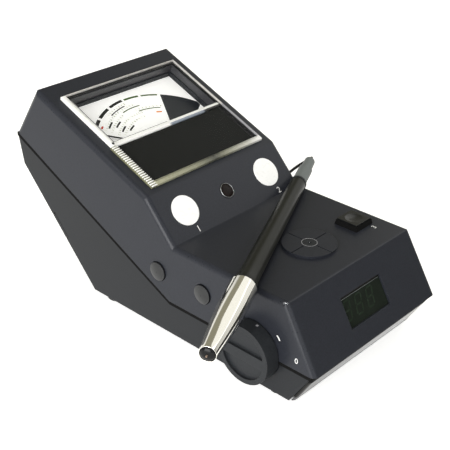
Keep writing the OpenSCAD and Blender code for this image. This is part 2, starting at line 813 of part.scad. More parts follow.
module optical_sensor() {
  top = deck_h - wall_t - window_tail;
  color("#26282a") translate([0, deck_front.x + plate_back, board_z + board_t]) difference() {
    cylinder(r = sensor_r, h = top - board_z - board_t);
    translate([0, 0, sensor_floor]) cylinder(r = sensor_bore_r, h = reach);
  }
}
key_flange = 1.2;
key_stem = 4;
key_dish = 0.6;
key_dish_r = 15;
switch_h = 4.3;
switch_w = 6;
plunger_r = 1.7;
plunger_h = 1;
module tact_switch(h) {
  union() {
    centred_box([switch_w, switch_w, h - plunger_h]);
    cylinder(r = plunger_r, h = h);
  }
}
module display_button() {
  flange_w = key_size + 2 * key_flange;
  low = board_z + board_t + switch_h + key_travel + switch_play - deck_h;
  color("#1d1f20") on_deck(key_x, key_back) difference() {
    union() {
      centred_box([key_size, key_size, key_proud + wall_t + key_flange], -wall_t - key_flange);
      centred_box([flange_w, flange_w, key_flange], -wall_t - key_flange);
      centred_box([key_stem, key_stem, -low - wall_t], low);
    }
    translate([0, 0, key_proud + key_dish_r - key_dish]) sphere(r = key_dish_r);
  }
}
module display_switch() {
  color("#3b3d3f") translate([key_x, deck_front.x + key_back, board_z + board_t]) tact_switch(switch_h);
}

// Display in the front face
lcd_sunk = 1;
lcd_flange = 1;
lcd_t = 2.8;
lcd_edge = 2;
module in_front(z = 0) {
  on_face(part_front, front_slope, lcd_up) translate([0, 0, z]) children();
}
module lcd_window() {
  color("#0d120e") union() {
    in_front(-wall_t - lcd_flange) centred_box([lcd_w, lcd_len, wall_t + lcd_flange - lcd_sunk]);
    in_front(-wall_t - lcd_flange) centred_box([lcd_w + 2 * lcd_edge, lcd_len + lcd_edge, lcd_flange]);
  }
}
module lcd_panel() {
  color("#2f3a30") in_front(-wall_t - lcd_flange - lcd_t)
    centred_box([lcd_w + 2 * lcd_edge, lcd_len + lcd_edge, lcd_t]);
}

// Boards and switches inside
module main_board() {
  color("#1f5a34") translate([board_left, board_front, board_z])
    cube([board_right - board_left, board_back - board_front, board_t]);
}
chip_size = [12, 12, 1.8];
driver_size = [16, 8, 2.2];
plug_size = [9, 6, 7];
can_r = 3;
can_h = 8;
can_pitch = 10;
cans = 3;
chip_x = (board_left + board_right) / 2 - 1.5 * chip_size.x;
chip_y = board_back - 2.75 * chip_size.y;
module board_parts() {
  color("#202224") translate([chip_x, chip_y, board_z + board_t]) {
    cube(chip_size);
    translate([2 * chip_size.x, chip_size.y - driver_size.y, 0]) cube(driver_size);
    for (i = [0:cans - 1]) translate([i * can_pitch, 2 * chip_size.y, 0]) cylinder(r = can_r, h = can_h);
    translate([3 * chip_size.x, 2 * chip_size.y - plug_size.y / 2, 0]) cube(plug_size);
  }
}
module side_button(y) {
  wall_x = max(front_wall_x(side_key_h), rear_wall_x(y, side_key_h));
  h = wall_x + side_key_proud - inner_half_w;
  dome_r = 3 * side_key_r;
  color("#2b2d2f") on_left_wall(y, side_key_h, -inner_half_w) union() {
    intersection() {
      translate([0, 0, -side_key_flange]) cylinder(r = side_key_r, h = h + side_key_flange);
      translate([0, 0, h - dome_r]) sphere(r = dome_r);
    }
    translate([0, 0, -side_key_flange]) cylinder(r = side_key_r + side_key_flange, h = side_key_flange);
    translate([0, 0, -side_key_flange - side_key_nub]) cylinder(r = plunger_r, h = side_key_nub + eps);
  }
}
module rear_side_button() {
  side_button(side_key_ys[1]);
}
module front_side_button() {
  side_button(side_key_ys[0]);
}
module side_switch_board() {
  over = switch_w / 2 + side_board_edge;
  color("#1f5a34") translate([-side_board_x, side_key_ys[0] - over, side_key_h - side_board_w / 2])
    cube([side_board_t, side_key_ys[1] - side_key_ys[0] + 2 * over, side_board_w]);
}
module side_switches() {
  color("#3b3d3f") for (y = side_key_ys) translate([-side_board_x, y, side_key_h]) rotate([0, -90, 0])
    tact_switch(side_switch_h);
}

// Turn knob on the left wall, its shaft and its switch
knob_rim = 2.4;
shaft_in_knob = 3;
switch_size = 17;
switch_t = 9;
shaft_end = 2;
module turn_knob() {
  color("#1c1d1f") on_left_wall(knob_y, part_h, -knob_base_x) difference() {
    cylinder(r = knob_r, h = knob_h);
    translate([0, 0, -1]) cylinder(r = knob_shaft_r, h = shaft_in_knob + 1);
    translate([0, 0, knob_h - knob_recess]) difference() {
      cylinder(r = knob_r - knob_rim, h = knob_recess + 1);
      centred_box([knob_bar, 2 * knob_r, knob_recess + 2], -1);
    }
  }
}
module knob_shaft() {
  color("#9a9da0") on_left_wall(knob_y, part_h, -knob_base_x - shaft_in_knob)
    rotate([0, 180, 0])
      cylinder(r = knob_shaft_r, h = shaft_in_knob + knob_base_x - inner_half_w + switch_t - shaft_end);
}
module knob_switch() {
  color("#33363a") on_left_wall(knob_y, part_h, -inner_half_w) difference() {
    union() {
      centred_box([switch_size, switch_size, switch_t], -switch_t);
      cylinder(r = bush_r, h = knob_half_w - inner_half_w);
    }
    translate([0, 0, shaft_end - switch_t - shaft_gap]) cylinder(r = knob_shaft_r + shaft_gap, h = reach);
  }
}

// Probe pen: local Z runs from the nose to the tail, and Z = 0 is where the barrel leaves the sleeve
sleeve_gap = 7.3;
pen_back = 16.5;
pen_tilt = asin((barrel_r - barrel_tail_r) / barrel_len);
pen_dir = [cos(pen_tilt) * cos(pen_turn), cos(pen_tilt) * sin(pen_turn), -sin(pen_tilt)];
pen_start = [
  -deck_half_w - sleeve_gap,
  deck_front.x + pen_back,
  deck_h + rest_gap + barrel_r / cos(pen_tilt) + sleeve_gap * tan(pen_tilt)
];
module in_pen(z = 0) {
  translate(pen_start) rotate([0, 90 + pen_tilt, pen_turn]) translate([0, 0, z]) children();
}
spigot_r = 3.9;
spigot_len = 14;
ring_t = 0.9;
ring_step = 0.7;
collar_t = 1.2;
collar_step = 0.25;
pen_bore_r = 2.4;
module probe_barrel() {
  color("#232425") in_pen() difference() {
    union() {
      cylinder(r1 = barrel_r, r2 = barrel_tail_r, h = barrel_len);
      translate([0, 0, -spigot_len]) cylinder(r = spigot_r, h = spigot_len + eps);
    }
    translate([0, 0, -spigot_len - 1]) cylinder(r = pen_bore_r, h = barrel_len + spigot_len + 2);
  }
}
module probe_ring() {
  color("#151516") in_pen(-ring_t) difference() {
    cylinder(r = sleeve_r - ring_step, h = ring_t);
    translate([0, 0, -1]) cylinder(r = spigot_r, h = ring_t + 2);
  }
}
sleeve_wall = 0.8;
sleeve_bead = 0.3;
taper_steps = 8;
taper_power = 1.7;
nose_seat = 6;
nose_r = mouth_r - sleeve_wall;
// Outline of the sleeve, which curves in towards its mouth
function sleeve_point(u) = [
  mouth_r + (sleeve_r - mouth_r) * (1 - pow(u, taper_power)),
  -sleeve_straight - u * (sleeve_len - sleeve_straight)
];
module probe_sleeve() {
  color("#c9ccce") in_pen(-ring_t) rotate_extrude() polygon(concat(
    [[spigot_r, 0], [sleeve_r - sleeve_bead, 0], [sleeve_r, -sleeve_bead]],
    [for (i = [0:taper_steps]) sleeve_point(i / taper_steps)],
    [[nose_r, -sleeve_len], [nose_r, -sleeve_len + nose_seat], [spigot_r, -spigot_len]]
  ));
}
nose_z = -ring_t - sleeve_len;
nose_out = 1.6;
nose_dome_r = nose_r + 1;
module probe_nose() {
  color("#141415") in_pen(nose_z) difference() {
    intersection() {
      translate([0, 0, -nose_out]) cylinder(r = nose_r, h = nose_seat + nose_out);
      translate([0, 0, nose_dome_r - nose_out]) union() {
        sphere(r = nose_dome_r);
        cylinder(r = nose_dome_r, h = nose_seat + nose_out);
      }
    }
    translate([0, 0, -nose_out - 1]) cylinder(r = tip_r + shaft_gap, h = nose_seat + nose_out + 2);
  }
}
tip_head = 1;
tip_step = 0.7;
tip_clear = 0.2;
seat_lap = 3;
module probe_tip() {
  color("#b8743c") in_pen(nose_z - nose_out) union() {
    translate([0, 0, -tip_out + tip_r]) cylinder(r = tip_r, h = tip_out - tip_r + nose_out + nose_seat);
    translate([0, 0, -tip_out + tip_r]) sphere(r = tip_r);
    translate([0, 0, nose_out + nose_seat]) cylinder(r = tip_r + tip_step, h = tip_head);
  }
}
module probe_spring_seat() {
  seat_from = nose_seat + tip_head + tip_travel + tip_clear;
  color("#7d8084") in_pen(nose_z + seat_from)
    cylinder(r = pen_bore_r, h = sleeve_len + ring_t - seat_from - spigot_len + seat_lap);
}
module probe_collar() {
  color("#141415") in_pen(barrel_len) difference() {
    cylinder(r = barrel_tail_r + collar_step, h = collar_t);
    translate([0, 0, -1]) cylinder(r = pen_bore_r, h = collar_t + 2);
  }
}
tail_z = barrel_len + collar_t;
tail_chamfer = 1;
module probe_tail() {
  color("#6f7475") in_pen(tail_z) union() {
    cylinder(r = tail_r, h = tail_len - tail_chamfer);
    translate([0, 0, tail_len - tail_chamfer])
      cylinder(r1 = tail_r, r2 = tail_r - tail_chamfer / 2, h = tail_chamfer);
  }
}
boot_z = tail_z + tail_len;
boot_dome = 1.6;
boot_end_r = 1.5;
boot_taper = 0.2;
module probe_boot() {
  color("#7b8081") in_pen(boot_z) union() {
    cylinder(r1 = boot_r, r2 = boot_r - boot_taper, h = boot_len - boot_dome);
    translate([0, 0, boot_len - boot_dome])
      cylinder(r1 = boot_r - boot_taper, r2 = boot_end_r, h = boot_dome);
  }
}

// Lead: two free stretches and a tied coil on the table behind the case
lead_r = lead_d / 2;
boot_end = pen_start + (boot_z + boot_len) * pen_dir;
tie_t = 0.5;
tie_w = 2.4;
tie_clear = 0.25;
coil_gap = 0.5;
coil_pitch = lead_d + coil_gap;
coil_mid = [70, 84];
coil_z = tie_t + tie_clear + lead_r;
coil_turns = 2 * coil_loops + 0.5;
coil_in_r = coil_r - coil_pitch * coil_turns / 4;
gland_end = [54, gland_y, gland_z];
function smooth(t) = let (c = min(1, max(0, t))) c * c * (3 - 2 * c);
// One point of the coil: it spirals in on the lower layer, climbs, and spirals out on the upper one
function coil_point(turn) =
  let (
    from_mid = turn - coil_turns / 2,
    r = coil_in_r + coil_pitch * abs(from_mid),
    a = 180 - 360 * turn
  )
  [coil_mid.x + r * cos(a), coil_mid.y + r * sin(a), coil_z + coil_pitch * smooth(2 * from_mid + 0.5)];
loop_rings = 24;
coil_start = coil_point(0);
coil_end = coil_point(coil_turns);
coil_path = concat(
  [coil_start - [0, lead_d, 0]],
  [for (i = [0:coil_turns * loop_rings]) coil_point(i / loop_rings)],
  [coil_end - [0, lead_d, 0]]
);
probe_route = concat(
  [boot_end, boot_end + 2 * lead_d * pen_dir],
  [[67.4, 18.2, 50.9], [66.6, 23.6, 46.6], [66, 31, 39], [66, 37, 30], [67, 43, 19], [69, 49, 9.5],
   [72, 55, 3.5], [75.5, 61.5, 1], [79.5, 67.5, 1], [82.6, 74, 2]],
  [coil_end - [0, 2.5 * lead_d, 0], coil_end - [0, lead_d, 0]]
);
case_route = concat(
  [gland_end, gland_end + [2 * lead_d, 0, 0]],
  [[60, 58.6, 23.5], [61, 60.5, 17], [60, 64, 10], [58.6, 68, 4.5], [57.8, 73, 2]],
  [coil_start - [0, 2.5 * lead_d, 0], coil_start - [0, lead_d, 0]]
);
// A curve through the chosen points, straight in its first and last span
function curve_point(p0, p1, p2, p3, t) =
  0.5 * (2 * p1 + (p2 - p0) * t + (2 * p0 - 5 * p1 + 4 * p2 - p3) * t * t
    + (3 * p1 - p0 - 3 * p2 + p3) * t * t * t);
route_steps = 2;
function curve(p) = let (n = len(p) - 1) concat(
  [p[0]],
  [for (i = [1:n - 2], k = [0:route_steps - 1])
    curve_point(p[i - 1], p[i], p[i + 1], p[i + 2], k / route_steps)],
  [p[n - 1], p[n]]
);
function tangent(p, i) = let (v = p[min(len(p) - 1, i + 1)] - p[max(0, i - 1)]) v / norm(v);
function side_of(t) = let (s = cross(abs(t.z) > 0.9 ? [0, 1, 0] : [0, 0, 1], t)) s / norm(s);
// Side vectors carried along the path without twist
function carried(p, i, last) = i == len(p) ? [] :
  let (t = tangent(p, i), v = last - (last * t) * t, s = v / norm(v)) concat([s], carried(p, i + 1, s));
module tube(p, sides) {
  n = len(p);
  side = carried(p, 0, side_of(tangent(p, 0)));
  points = [for (i = [0:n - 1], k = [0:sides - 1])
    let (t = tangent(p, i), a = 360 * k / sides)
    p[i] + lead_r * (cos(a) * side[i] + sin(a) * cross(t, side[i]))];
  walls = [for (i = [0:n - 2], k = [0:sides - 1], half = [0, 1])
    let (a = i * sides + k, b = i * sides + (k + 1) % sides)
    half == 0 ? [a, a + sides, b] : [b, a + sides, b + sides]];
  caps = [for (k = [1:sides - 2], end = [0, 1])
    let (e = (n - 1) * sides)
    end == 0 ? [0, k, k + 1] : [e, e + k + 1, e + k]];
  polyhedron(points = points, faces = concat(walls, caps));
}
// Least gap of the coil to itself, between points half a loop or more apart
coil_self_gap = min([for (i = [0:len(coil_path) - 1], j = [i + 1:len(coil_path) - 1])
  if (j - i > loop_rings / 2) norm(coil_path[i] - coil_path[j])]) - lead_d;
echo(coil_self_gap = coil_self_gap);
module cable_gland() {
  wall_x = low_wall_x(gland_z + gland_flange_r);
  color("#1d1e1f") translate([0, gland_y, gland_z]) rotate([0, 90, 0]) union() {
    translate([0, 0, low_inner_half_w]) cylinder(r = gland_r, h = wall_x - low_inner_half_w);
    translate([0, 0, wall_x]) cylinder(r = gland_flange_r, h = gland_flange);
    translate([0, 0, wall_x + gland_flange])
      cylinder(r1 = gland_boot_r, r2 = gland_end_r, h = gland_end.x - wall_x - gland_flange);
    translate([0, 0, low_inner_half_w - gland_flange]) cylinder(r = gland_flange_r, h = gland_flange);
  }
}
module cable_probe_end() {
  color("#111112") tube(curve(probe_route), 8);
}
module cable_coil() {
  color("#111112") tube(coil_path, 6);
}
module cable_case_end() {
  color("#111112") tube(curve(case_route), 8);
}
module cable_tie() {
  span = 2 * (coil_r - coil_in_r) + lead_d + 2 * tie_clear;
  height = coil_pitch + lead_d + 2 * tie_clear;
  color("#2a2a2b") translate([coil_mid.x, coil_mid.y + coil_r, tie_t]) difference() {
    centred_box([tie_w, span + 2 * tie_t, height + 2 * tie_t], -tie_t);
    centred_box([2 * tie_w, span, height]);
  }
}

upper_shell();
lower_shell();
feet();
case_screws();
battery_door();
battery_cells();
battery_contacts();
meter_body();
meter_cover();
meter_dial();
meter_plate();
meter_magnet();
meter_bridge();
meter_pointer();
left_disc();
right_disc();
lamp_bezel();
lamp_lens();
test_plate();
test_window();
optical_sensor();
display_button();
display_switch();
lcd_window();
lcd_panel();
main_board();
board_parts();
rear_side_button();
front_side_button();
side_switch_board();
side_switches();
turn_knob();
knob_shaft();
knob_switch();
probe_barrel();
probe_sleeve();
probe_ring();
probe_collar();
probe_tail();
probe_boot();
probe_nose();
probe_tip();
probe_spring_seat();
cable_gland();
cable_probe_end();
cable_coil();
cable_case_end();
cable_tie();
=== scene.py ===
"""Looks of a counter-top gem tester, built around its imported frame. Pieces are drawn in millimetres."""

import json
import math

import bmesh
import bpy
from mathutils import Matrix, Vector


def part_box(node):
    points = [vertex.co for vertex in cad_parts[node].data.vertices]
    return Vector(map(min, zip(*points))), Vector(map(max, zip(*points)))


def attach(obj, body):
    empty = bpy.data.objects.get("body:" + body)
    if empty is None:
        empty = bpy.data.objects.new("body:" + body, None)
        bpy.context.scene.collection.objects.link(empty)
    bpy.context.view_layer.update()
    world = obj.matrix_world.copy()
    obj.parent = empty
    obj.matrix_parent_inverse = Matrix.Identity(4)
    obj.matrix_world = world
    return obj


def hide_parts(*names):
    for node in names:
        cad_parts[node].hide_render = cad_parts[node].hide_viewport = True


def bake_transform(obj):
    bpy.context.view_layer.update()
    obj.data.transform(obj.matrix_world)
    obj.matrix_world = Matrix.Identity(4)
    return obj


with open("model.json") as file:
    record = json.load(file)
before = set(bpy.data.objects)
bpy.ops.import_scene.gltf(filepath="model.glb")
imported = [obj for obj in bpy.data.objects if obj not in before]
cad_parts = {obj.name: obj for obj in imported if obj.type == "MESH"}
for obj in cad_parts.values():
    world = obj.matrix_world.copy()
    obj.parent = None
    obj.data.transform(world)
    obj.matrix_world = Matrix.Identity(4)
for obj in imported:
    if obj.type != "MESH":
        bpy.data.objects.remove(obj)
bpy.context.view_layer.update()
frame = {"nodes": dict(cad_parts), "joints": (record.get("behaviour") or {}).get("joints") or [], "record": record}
nodes = frame["nodes"]
joints = {joint["name"]: joint for joint in frame["joints"]}

MM = 0.001
scene = bpy.context.scene
scene.view_settings.view_transform = "Standard"

# Camera, at the photograph's viewing angle
IMAGE_SIZE = 450
FOCAL_PIXELS = 980.97
SENSOR = 36
CAMERA_AT = (-0.30508, -0.26474, 0.26779)
CAMERA_TURN = -47.359
CAMERA_TILT = 28.87
CAMERA_ROLL = 0.694

camera_data = bpy.data.cameras.new("camera")
camera_data.sensor_width = SENSOR
camera_data.lens = FOCAL_PIXELS / IMAGE_SIZE * SENSOR
camera = bpy.data.objects.new("camera", camera_data)
camera.matrix_world = (
    Matrix.Translation(CAMERA_AT)
    @ Matrix.Rotation(math.radians(CAMERA_TURN), 4, "Z")
    @ Matrix.Rotation(math.radians(90 - CAMERA_TILT), 4, "X")
    @ Matrix.Rotation(math.radians(CAMERA_ROLL), 4, "Z")
)
scene.collection.objects.link(camera)
scene.camera = camera


# Materials
def linear(hex_code):
    """Linear colour with alpha from an sRGB hex value."""
    shares = [int(hex_code[i:i + 2], 16) / 255 for i in (1, 3, 5)]
    return [c / 12.92 if c <= 0.04045 else ((c + 0.055) / 1.055) ** 2.4 for c in shares] + [1.0]


def add_node(tree, kind, inputs=None, **settings):
    """Adds a node.

    settings are its own options, and inputs maps a socket to a value or to another node's output.
    """
    node = tree.nodes.new(kind)
    for name, value in settings.items():
        setattr(node, name, value)
    for name, value in (inputs or {}).items():
        if isinstance(value, bpy.types.NodeSocket):
            tree.links.new(value, node.inputs[name])
        else:
            node.inputs[name].default_value = value
    return node


# Part of the noise over which a finish goes from its first shade to its second
GRAIN_LOW = 0.3
GRAIN_HIGH = 0.7


def finish(name, shades, grain_mm, roughness, relief_mm=0.0, edge_mm=0.0, **sockets):
    """A material whose colour, roughness and relief vary with one noise of a real grain size.

    shades and roughness are pairs of ends, edge_mm rounds the look of sharp edges, and sockets are
    constants of the shader, written with _ for a space.
    """
    material = bpy.data.materials.new(name)
    material.use_nodes = True
    tree = material.node_tree
    shader = tree.nodes["Principled BSDF"]
    for socket, value in sockets.items():
        shader.inputs[socket.replace("_", " ")].default_value = value
    place = add_node(tree, "ShaderNodeTexCoord").outputs["Object"]
    grain = add_node(
        tree, "ShaderNodeTexNoise", {"Vector": place, "Scale": 1 / (grain_mm * MM), "Detail": 2.0}
    ).outputs["Fac"]
    ramp = add_node(tree, "ShaderNodeValToRGB", {"Fac": grain})
    for stop, shade, at in zip(ramp.color_ramp.elements, shades, (GRAIN_LOW, GRAIN_HIGH)):
        stop.position = at
        stop.color = linear(shade)
    gloss = add_node(
        tree, "ShaderNodeMapRange",
        {
            "Value": grain, "From Min": GRAIN_LOW, "From Max": GRAIN_HIGH,
            "To Min": roughness[0], "To Max": roughness[1],
        },
    )
    tree.links.new(ramp.outputs["Color"], shader.inputs["Base Color"])
    tree.links.new(gloss.outputs["Result"], shader.inputs["Roughness"])
    normal = None
    if edge_mm:
        normal = add_node(tree, "ShaderNodeBevel", {"Radius": edge_mm * MM}).outputs["Normal"]
    if relief_mm:
        inputs = {"Height": grain, "Distance": relief_mm * MM, "Strength": 1.0}
        if normal:
            inputs["Normal"] = normal
        normal = add_node(tree, "ShaderNodeBump", inputs).outputs["Normal"]
    if normal:
        tree.links.new(normal, shader.inputs["Normal"])
    return material


# ABS moulded against a spark-eroded tool: dark, with a fine even grain that breaks up reflections.
# The real grain is about 0.1 mm, and it is drawn at 0.7 mm so that it shows.
case_abs = finish(
    "abs_spark_textured", ("#25272D", "#2B2D34"), 0.7, (0.3, 0.38), 0.012, 0.15, Specular_IOR_Level=0.22
)
# The rounded edges of the same moulding, polished by handling
edge_abs = finish(
    "abs_edges_handled", ("#25272D", "#2B2D34"), 0.7, (0.27, 0.33), 0.006, 0.0, Specular_IOR_Level=0.25
)
# A lighter, glossier patch of it, for a painted highlight at a corner
corner_highlight_abs = finish("abs_corner_painted_highlight", ("#2B2D34", "#30323A"), 0.7, (0.18, 0.22), IOR=1.5)
# Polished ABS at the foot of the front, which mirrors the table
mirror_abs = finish(
    "abs_mirror_polished", ("#1C1C1B", "#222220"), 3.0, (0.1, 0.14), 0.0, 0.0, Specular_IOR_Level=0.06
)
# Lower half of the case, and the door in it: the same plastic painted darker, as painted shade on the lower walls
low_abs = finish(
    "abs_spark_textured_painted_shade", ("#1B1D20", "#212327"), 0.7, (0.34, 0.42), 0.012, 0.15, Specular_IOR_Level=0.2
)
# Small buttons, darker still and domed smooth
button_abs = finish("abs_button_black", ("#141517", "#191A1D"), 0.9, (0.3, 0.38), 0.006, 0.2, IOR=1.5)
# The same plastic from a smoother tool, on knobs and small parts
satin_abs = finish(
    "abs_satin_moulded", ("#26282B", "#2C2E31"), 0.9, (0.32, 0.4), 0.01, 0.2, Specular_IOR_Level=0.15
)
# ABS from a polished tool: clear reflections, slightly uneven; it also paints the dark shade along the display's
# top
gloss_abs = finish("abs_polished", ("#121314", "#161718"), 4.0, (0.2, 0.26), 0.0, 0.3, IOR=1.5)
# Cast rubber: matt, with a coarse bloom
foot_rubber = finish("rubber_moulded", ("#0C0C0C", "#141414"), 1.2, (0.7, 0.85), 0.04, 0.3, IOR=1.5)
# Zinc plate on steel: pale metal with a faint cloudiness
zinc_steel = finish("steel_zinc_plated", ("#A9ABAE", "#C2C4C6"), 0.8, (0.3, 0.42), 0.005, 0.1, Metallic=1.0)
# Bright nickel over turned brass: near-mirror with a warm tone
nickel = finish("nickel_plate_polished", ("#F0EEE7", "#F4F2EC"), 0.9, (0.07, 0.09), 0.0, 0.0, Metallic=1.0)
# Bare copper alloy, dulled by handling
copper = finish("copper_bare", ("#A9653A", "#C98452"), 0.5, (0.25, 0.4), 0.004, 0.0, Metallic=1.0)
# Stamped brass, left plain
brass = finish("brass_stamped", ("#B08D45", "#C4A35C"), 0.8, (0.3, 0.42), 0.004, 0.0, Metallic=1.0)
# Cast acrylic pane: so clear that it is seen only by its edges
acrylic = finish("acrylic_clear_moulded", ("#0A0B0B", "#0D0E0E"), 12.0, (0.04, 0.06), 0.0, 0.0, Alpha=0.02)
# The acrylic's moulded flutes and worked edge, painted pale white: painted reflection of the bright studio in
# clear acrylic
pale_painted_acrylic = finish("acrylic_edge_painted_pale_reflection", ("#F6F6F2", "#FBFBF9"), 0.6, (0.3, 0.45), 0.0, 0.0, IOR=1.49)
# Coated card with a faint glow of its own: painted light that keeps the dial white in its well
card = finish(
    "card_coated_painted_glow", ("#FAFAF8", "#FCFCFB"), 1.5, (0.55, 0.65), Specular_IOR_Level=0.3,
    Emission_Color=linear("#FFFFFF"), Emission_Strength=0.22,
)
# Glazed white ceramic for the reference spots
ceramic = finish("ceramic_white_glazed", ("#FBFBFA", "#FDFDFC"), 2.0, (0.25, 0.35), 0.0, 0.2, IOR=1.5)
# Dark plate below the dial: lacquered matt, so that the pane over it stays black
plate_lacquer = finish("lacquer_matt_black", ("#1E1F1E", "#222322"), 2.0, (0.4, 0.5), Specular_IOR_Level=0.05)
# Black ceramic nose of the probe: dense and glossy
nose_black = finish("ceramic_black_glazed", ("#08080A", "#0C0C0F"), 2.0, (0.15, 0.2), Specular_IOR_Level=0.2)
# Smoked lens over a lamp that is off
smoked_lens = finish(
    "acrylic_smoked_red", ("#120B09", "#1A100D"), 3.0, (0.2, 0.26), 0.0, 0.2, Specular_IOR_Level=0.1
)
# Smoked window over the display
smoked_window = finish(
    "acrylic_smoked_green", ("#1C211C", "#1F241F"), 6.0, (0.2, 0.26), 0.0, 0.0, Specular_IOR_Level=0.06
)
# Glass face of the display, behind its window
display_glass = finish("display_glass", ("#2C352D", "#323B33"), 5.0, (0.2, 0.3), 0.0, 0.0, IOR=1.5)
# Solder resist over woven glass: green, with the weave just showing
solder_resist = finish("board_solder_resist", ("#124A2A", "#1B6038"), 0.9, (0.25, 0.4), 0.01, 0.0, IOR=1.5)
# Grey thermoplastic rubber on the pen's tail; the same grey paints the highlight line along the display's top
grey_rubber = finish("rubber_grey_moulded", ("#656B6B", "#727878"), 0.8, (0.45, 0.6), 0.015, 0.2, IOR=1.5)
# Printed steel can of a dry cell
cell_can = finish("steel_can_printed", ("#9A7524", "#B38A30"), 2.0, (0.3, 0.4), 0.004, 0.0, Metallic=0.6)
# PVC jacket of the lead: black and satin
pvc_jacket = finish("pvc_jacket_extruded", ("#101011", "#181819"), 0.8, (0.35, 0.5), 0.01, 0.0, IOR=1.52)
# Cast magnet, left plain
cast_magnet = finish("magnet_cast", ("#5C5D60", "#737578"), 0.9, (0.5, 0.65), 0.02, 0.0, Metallic=1.0)
# Black paint on the pointer's aluminium strip
black_paint = finish("paint_matt_black", ("#0E0E0F", "#161617"), 0.7, (0.45, 0.55), 0.004, 0.0, IOR=1.5)
# Satin lacquer over the pen's turned barrel: a warm black, faintly clouded
barrel_lacquer = finish(
    "lacquer_satin_black", ("#191A16", "#1F201B"), 3.0, (0.3, 0.36), 0.0, 0.0, Specular_IOR_Level=0.17
)
# Screen inks on the dial and the case
ink_black = finish("ink_screen_black", ("#0D0F0C", "#151712"), 0.6, (0.4, 0.5), 0.0, 0.0, IOR=1.5)
ink_green = finish("ink_screen_green", ("#3F5A22", "#4B682A"), 0.6, (0.4, 0.5), 0.0, 0.0, IOR=1.5)
ink_olive = finish("ink_screen_olive", ("#8C9A6E", "#9AA67D"), 0.6, (0.4, 0.5), 0.0, 0.0, IOR=1.5)
ink_red = finish("ink_screen_red", ("#D22C17", "#DC3820"), 0.6, (0.4, 0.5), 0.0, 0.0, IOR=1.5)
ink_orange = finish("ink_screen_orange", ("#E8862F", "#F0943C"), 0.6, (0.4, 0.5), 0.0, 0.0, IOR=1.5)
ink_white = finish("ink_screen_white", ("#E6E7E6", "#EFEFEE"), 0.6, (0.4, 0.5), 0.0, 0.0, IOR=1.5)
# Segments of the display that are off: a shade greener than the window
ink_segment = finish(
    "display_segment_off", ("#222B22", "#262F26"), 2.0, (0.2, 0.3), 0.0, 0.0, Specular_IOR_Level=0.08
)

# Black matt painted shade in the parting line, the slits, under the front's parting line and round the square key,
# so that they stay dark
shade_black = finish("black_painted_shade", ("#040404", "#070707"), 0.5, (0.9, 1.0), 0.05, 0.0, IOR=1.3)
# Grey moulded frame round the meter's well
well_grey = finish("abs_grey_frame", ("#37373A", "#3F3F43"), 1.2, (0.35, 0.45), 0.01, 0.1, IOR=1.5)
# The same clear acrylic where it looks olive, painted that colour: painted reflection of the room
olive_edge = finish("acrylic_edge_painted_olive_reflection", ("#6E6D55", "#7C7B62"), 0.8, (0.3, 0.4), 0.01, 0.0, IOR=1.49)
# Ink of the dial's wide sector: a very dark blue
ink_navy = finish("ink_screen_navy", ("#14181F", "#191E26"), 0.6, (0.35, 0.45), 0.0, 0.0, IOR=1.5)
# Copper alloy tip of the probe, worn and warm in tone
pin_metal = finish("copper_tip_worn", ("#8F7A6C", "#A08A7B"), 0.3, (0.3, 0.4), 0.002, 0.0, Metallic=0.6)


def graded(name, stops, roughness):
    """A material whose colour changes along the part's X, through stops.

    A stop is a place in millimetres and a shade.
    """
    material = finish(name, (stops[0][1], stops[0][1]), 2.0, roughness, IOR=1.49)
    tree = material.node_tree
    place = add_node(tree, "ShaderNodeTexCoord").outputs["Object"]
    along = add_node(tree, "ShaderNodeSeparateXYZ", {"Vector": place}).outputs["X"]
    first, last = stops[0][0], stops[-1][0]
    share = add_node(
        tree, "ShaderNodeMapRange", {"Value": along, "From Min": first * MM, "From Max": last * MM}
    ).outputs["Result"]
    ramp = add_node(tree, "ShaderNodeValToRGB", {"Fac": share})
    shades = ramp.color_ramp.elements
    for _ in stops[2:]:
        shades.new(0.5)
    for shade, (at, code) in zip(shades, stops):
        shade.position = (at - first) / (last - first)
        shade.color = linear(code)
    tree.links.new(ramp.outputs["Color"], tree.nodes["Principled BSDF"].inputs["Base Color"])
    return material


# Front edge of the meter's cover: clear acrylic whose reflections are painted as shades running along it
front_edge_shades = graded(
    "acrylic_edge_front_painted_reflection",
    [(-37, "#A3A28A"), (-10, "#8D8D79"), (4, "#4A4A42"), (12, "#8A8A78"), (28, "#C9C9C0"), (37, "#FFFFFF")],
    (0.25, 0.35),
)
# Front of the rib between dial and plate, painted reflection: white beside the dial, blue-grey, then black
rib_shades = graded(
    "acrylic_rib_painted_reflection",
    [(-35, "#FFFFFF"), (0.5, "#FFFFFF"), (2, "#8D97A6"), (24, "#8D97A6"), (25.5, "#1A1A1C"), (35, "#1A1A1C")],
    (0.25, 0.35),
)
# Clear acrylic seen edge on: a pale painted highlight line where it is thick, and a grey painted reflection line
# where it is thin; the grey also draws the eye's ring and dot and the knob's dot
pale_edge = finish("acrylic_edge_painted_highlight", ("#B9B6B3", "#C9C6C3"), 1.0, (0.25, 0.35), 0.0, 0.0, IOR=1.49)
grey_edge = finish("grey_lines_and_painted_reflection", ("#8E8D92", "#A3A2A6"), 1.0, (0.25, 0.35), 0.0, 0.0, IOR=1.49)

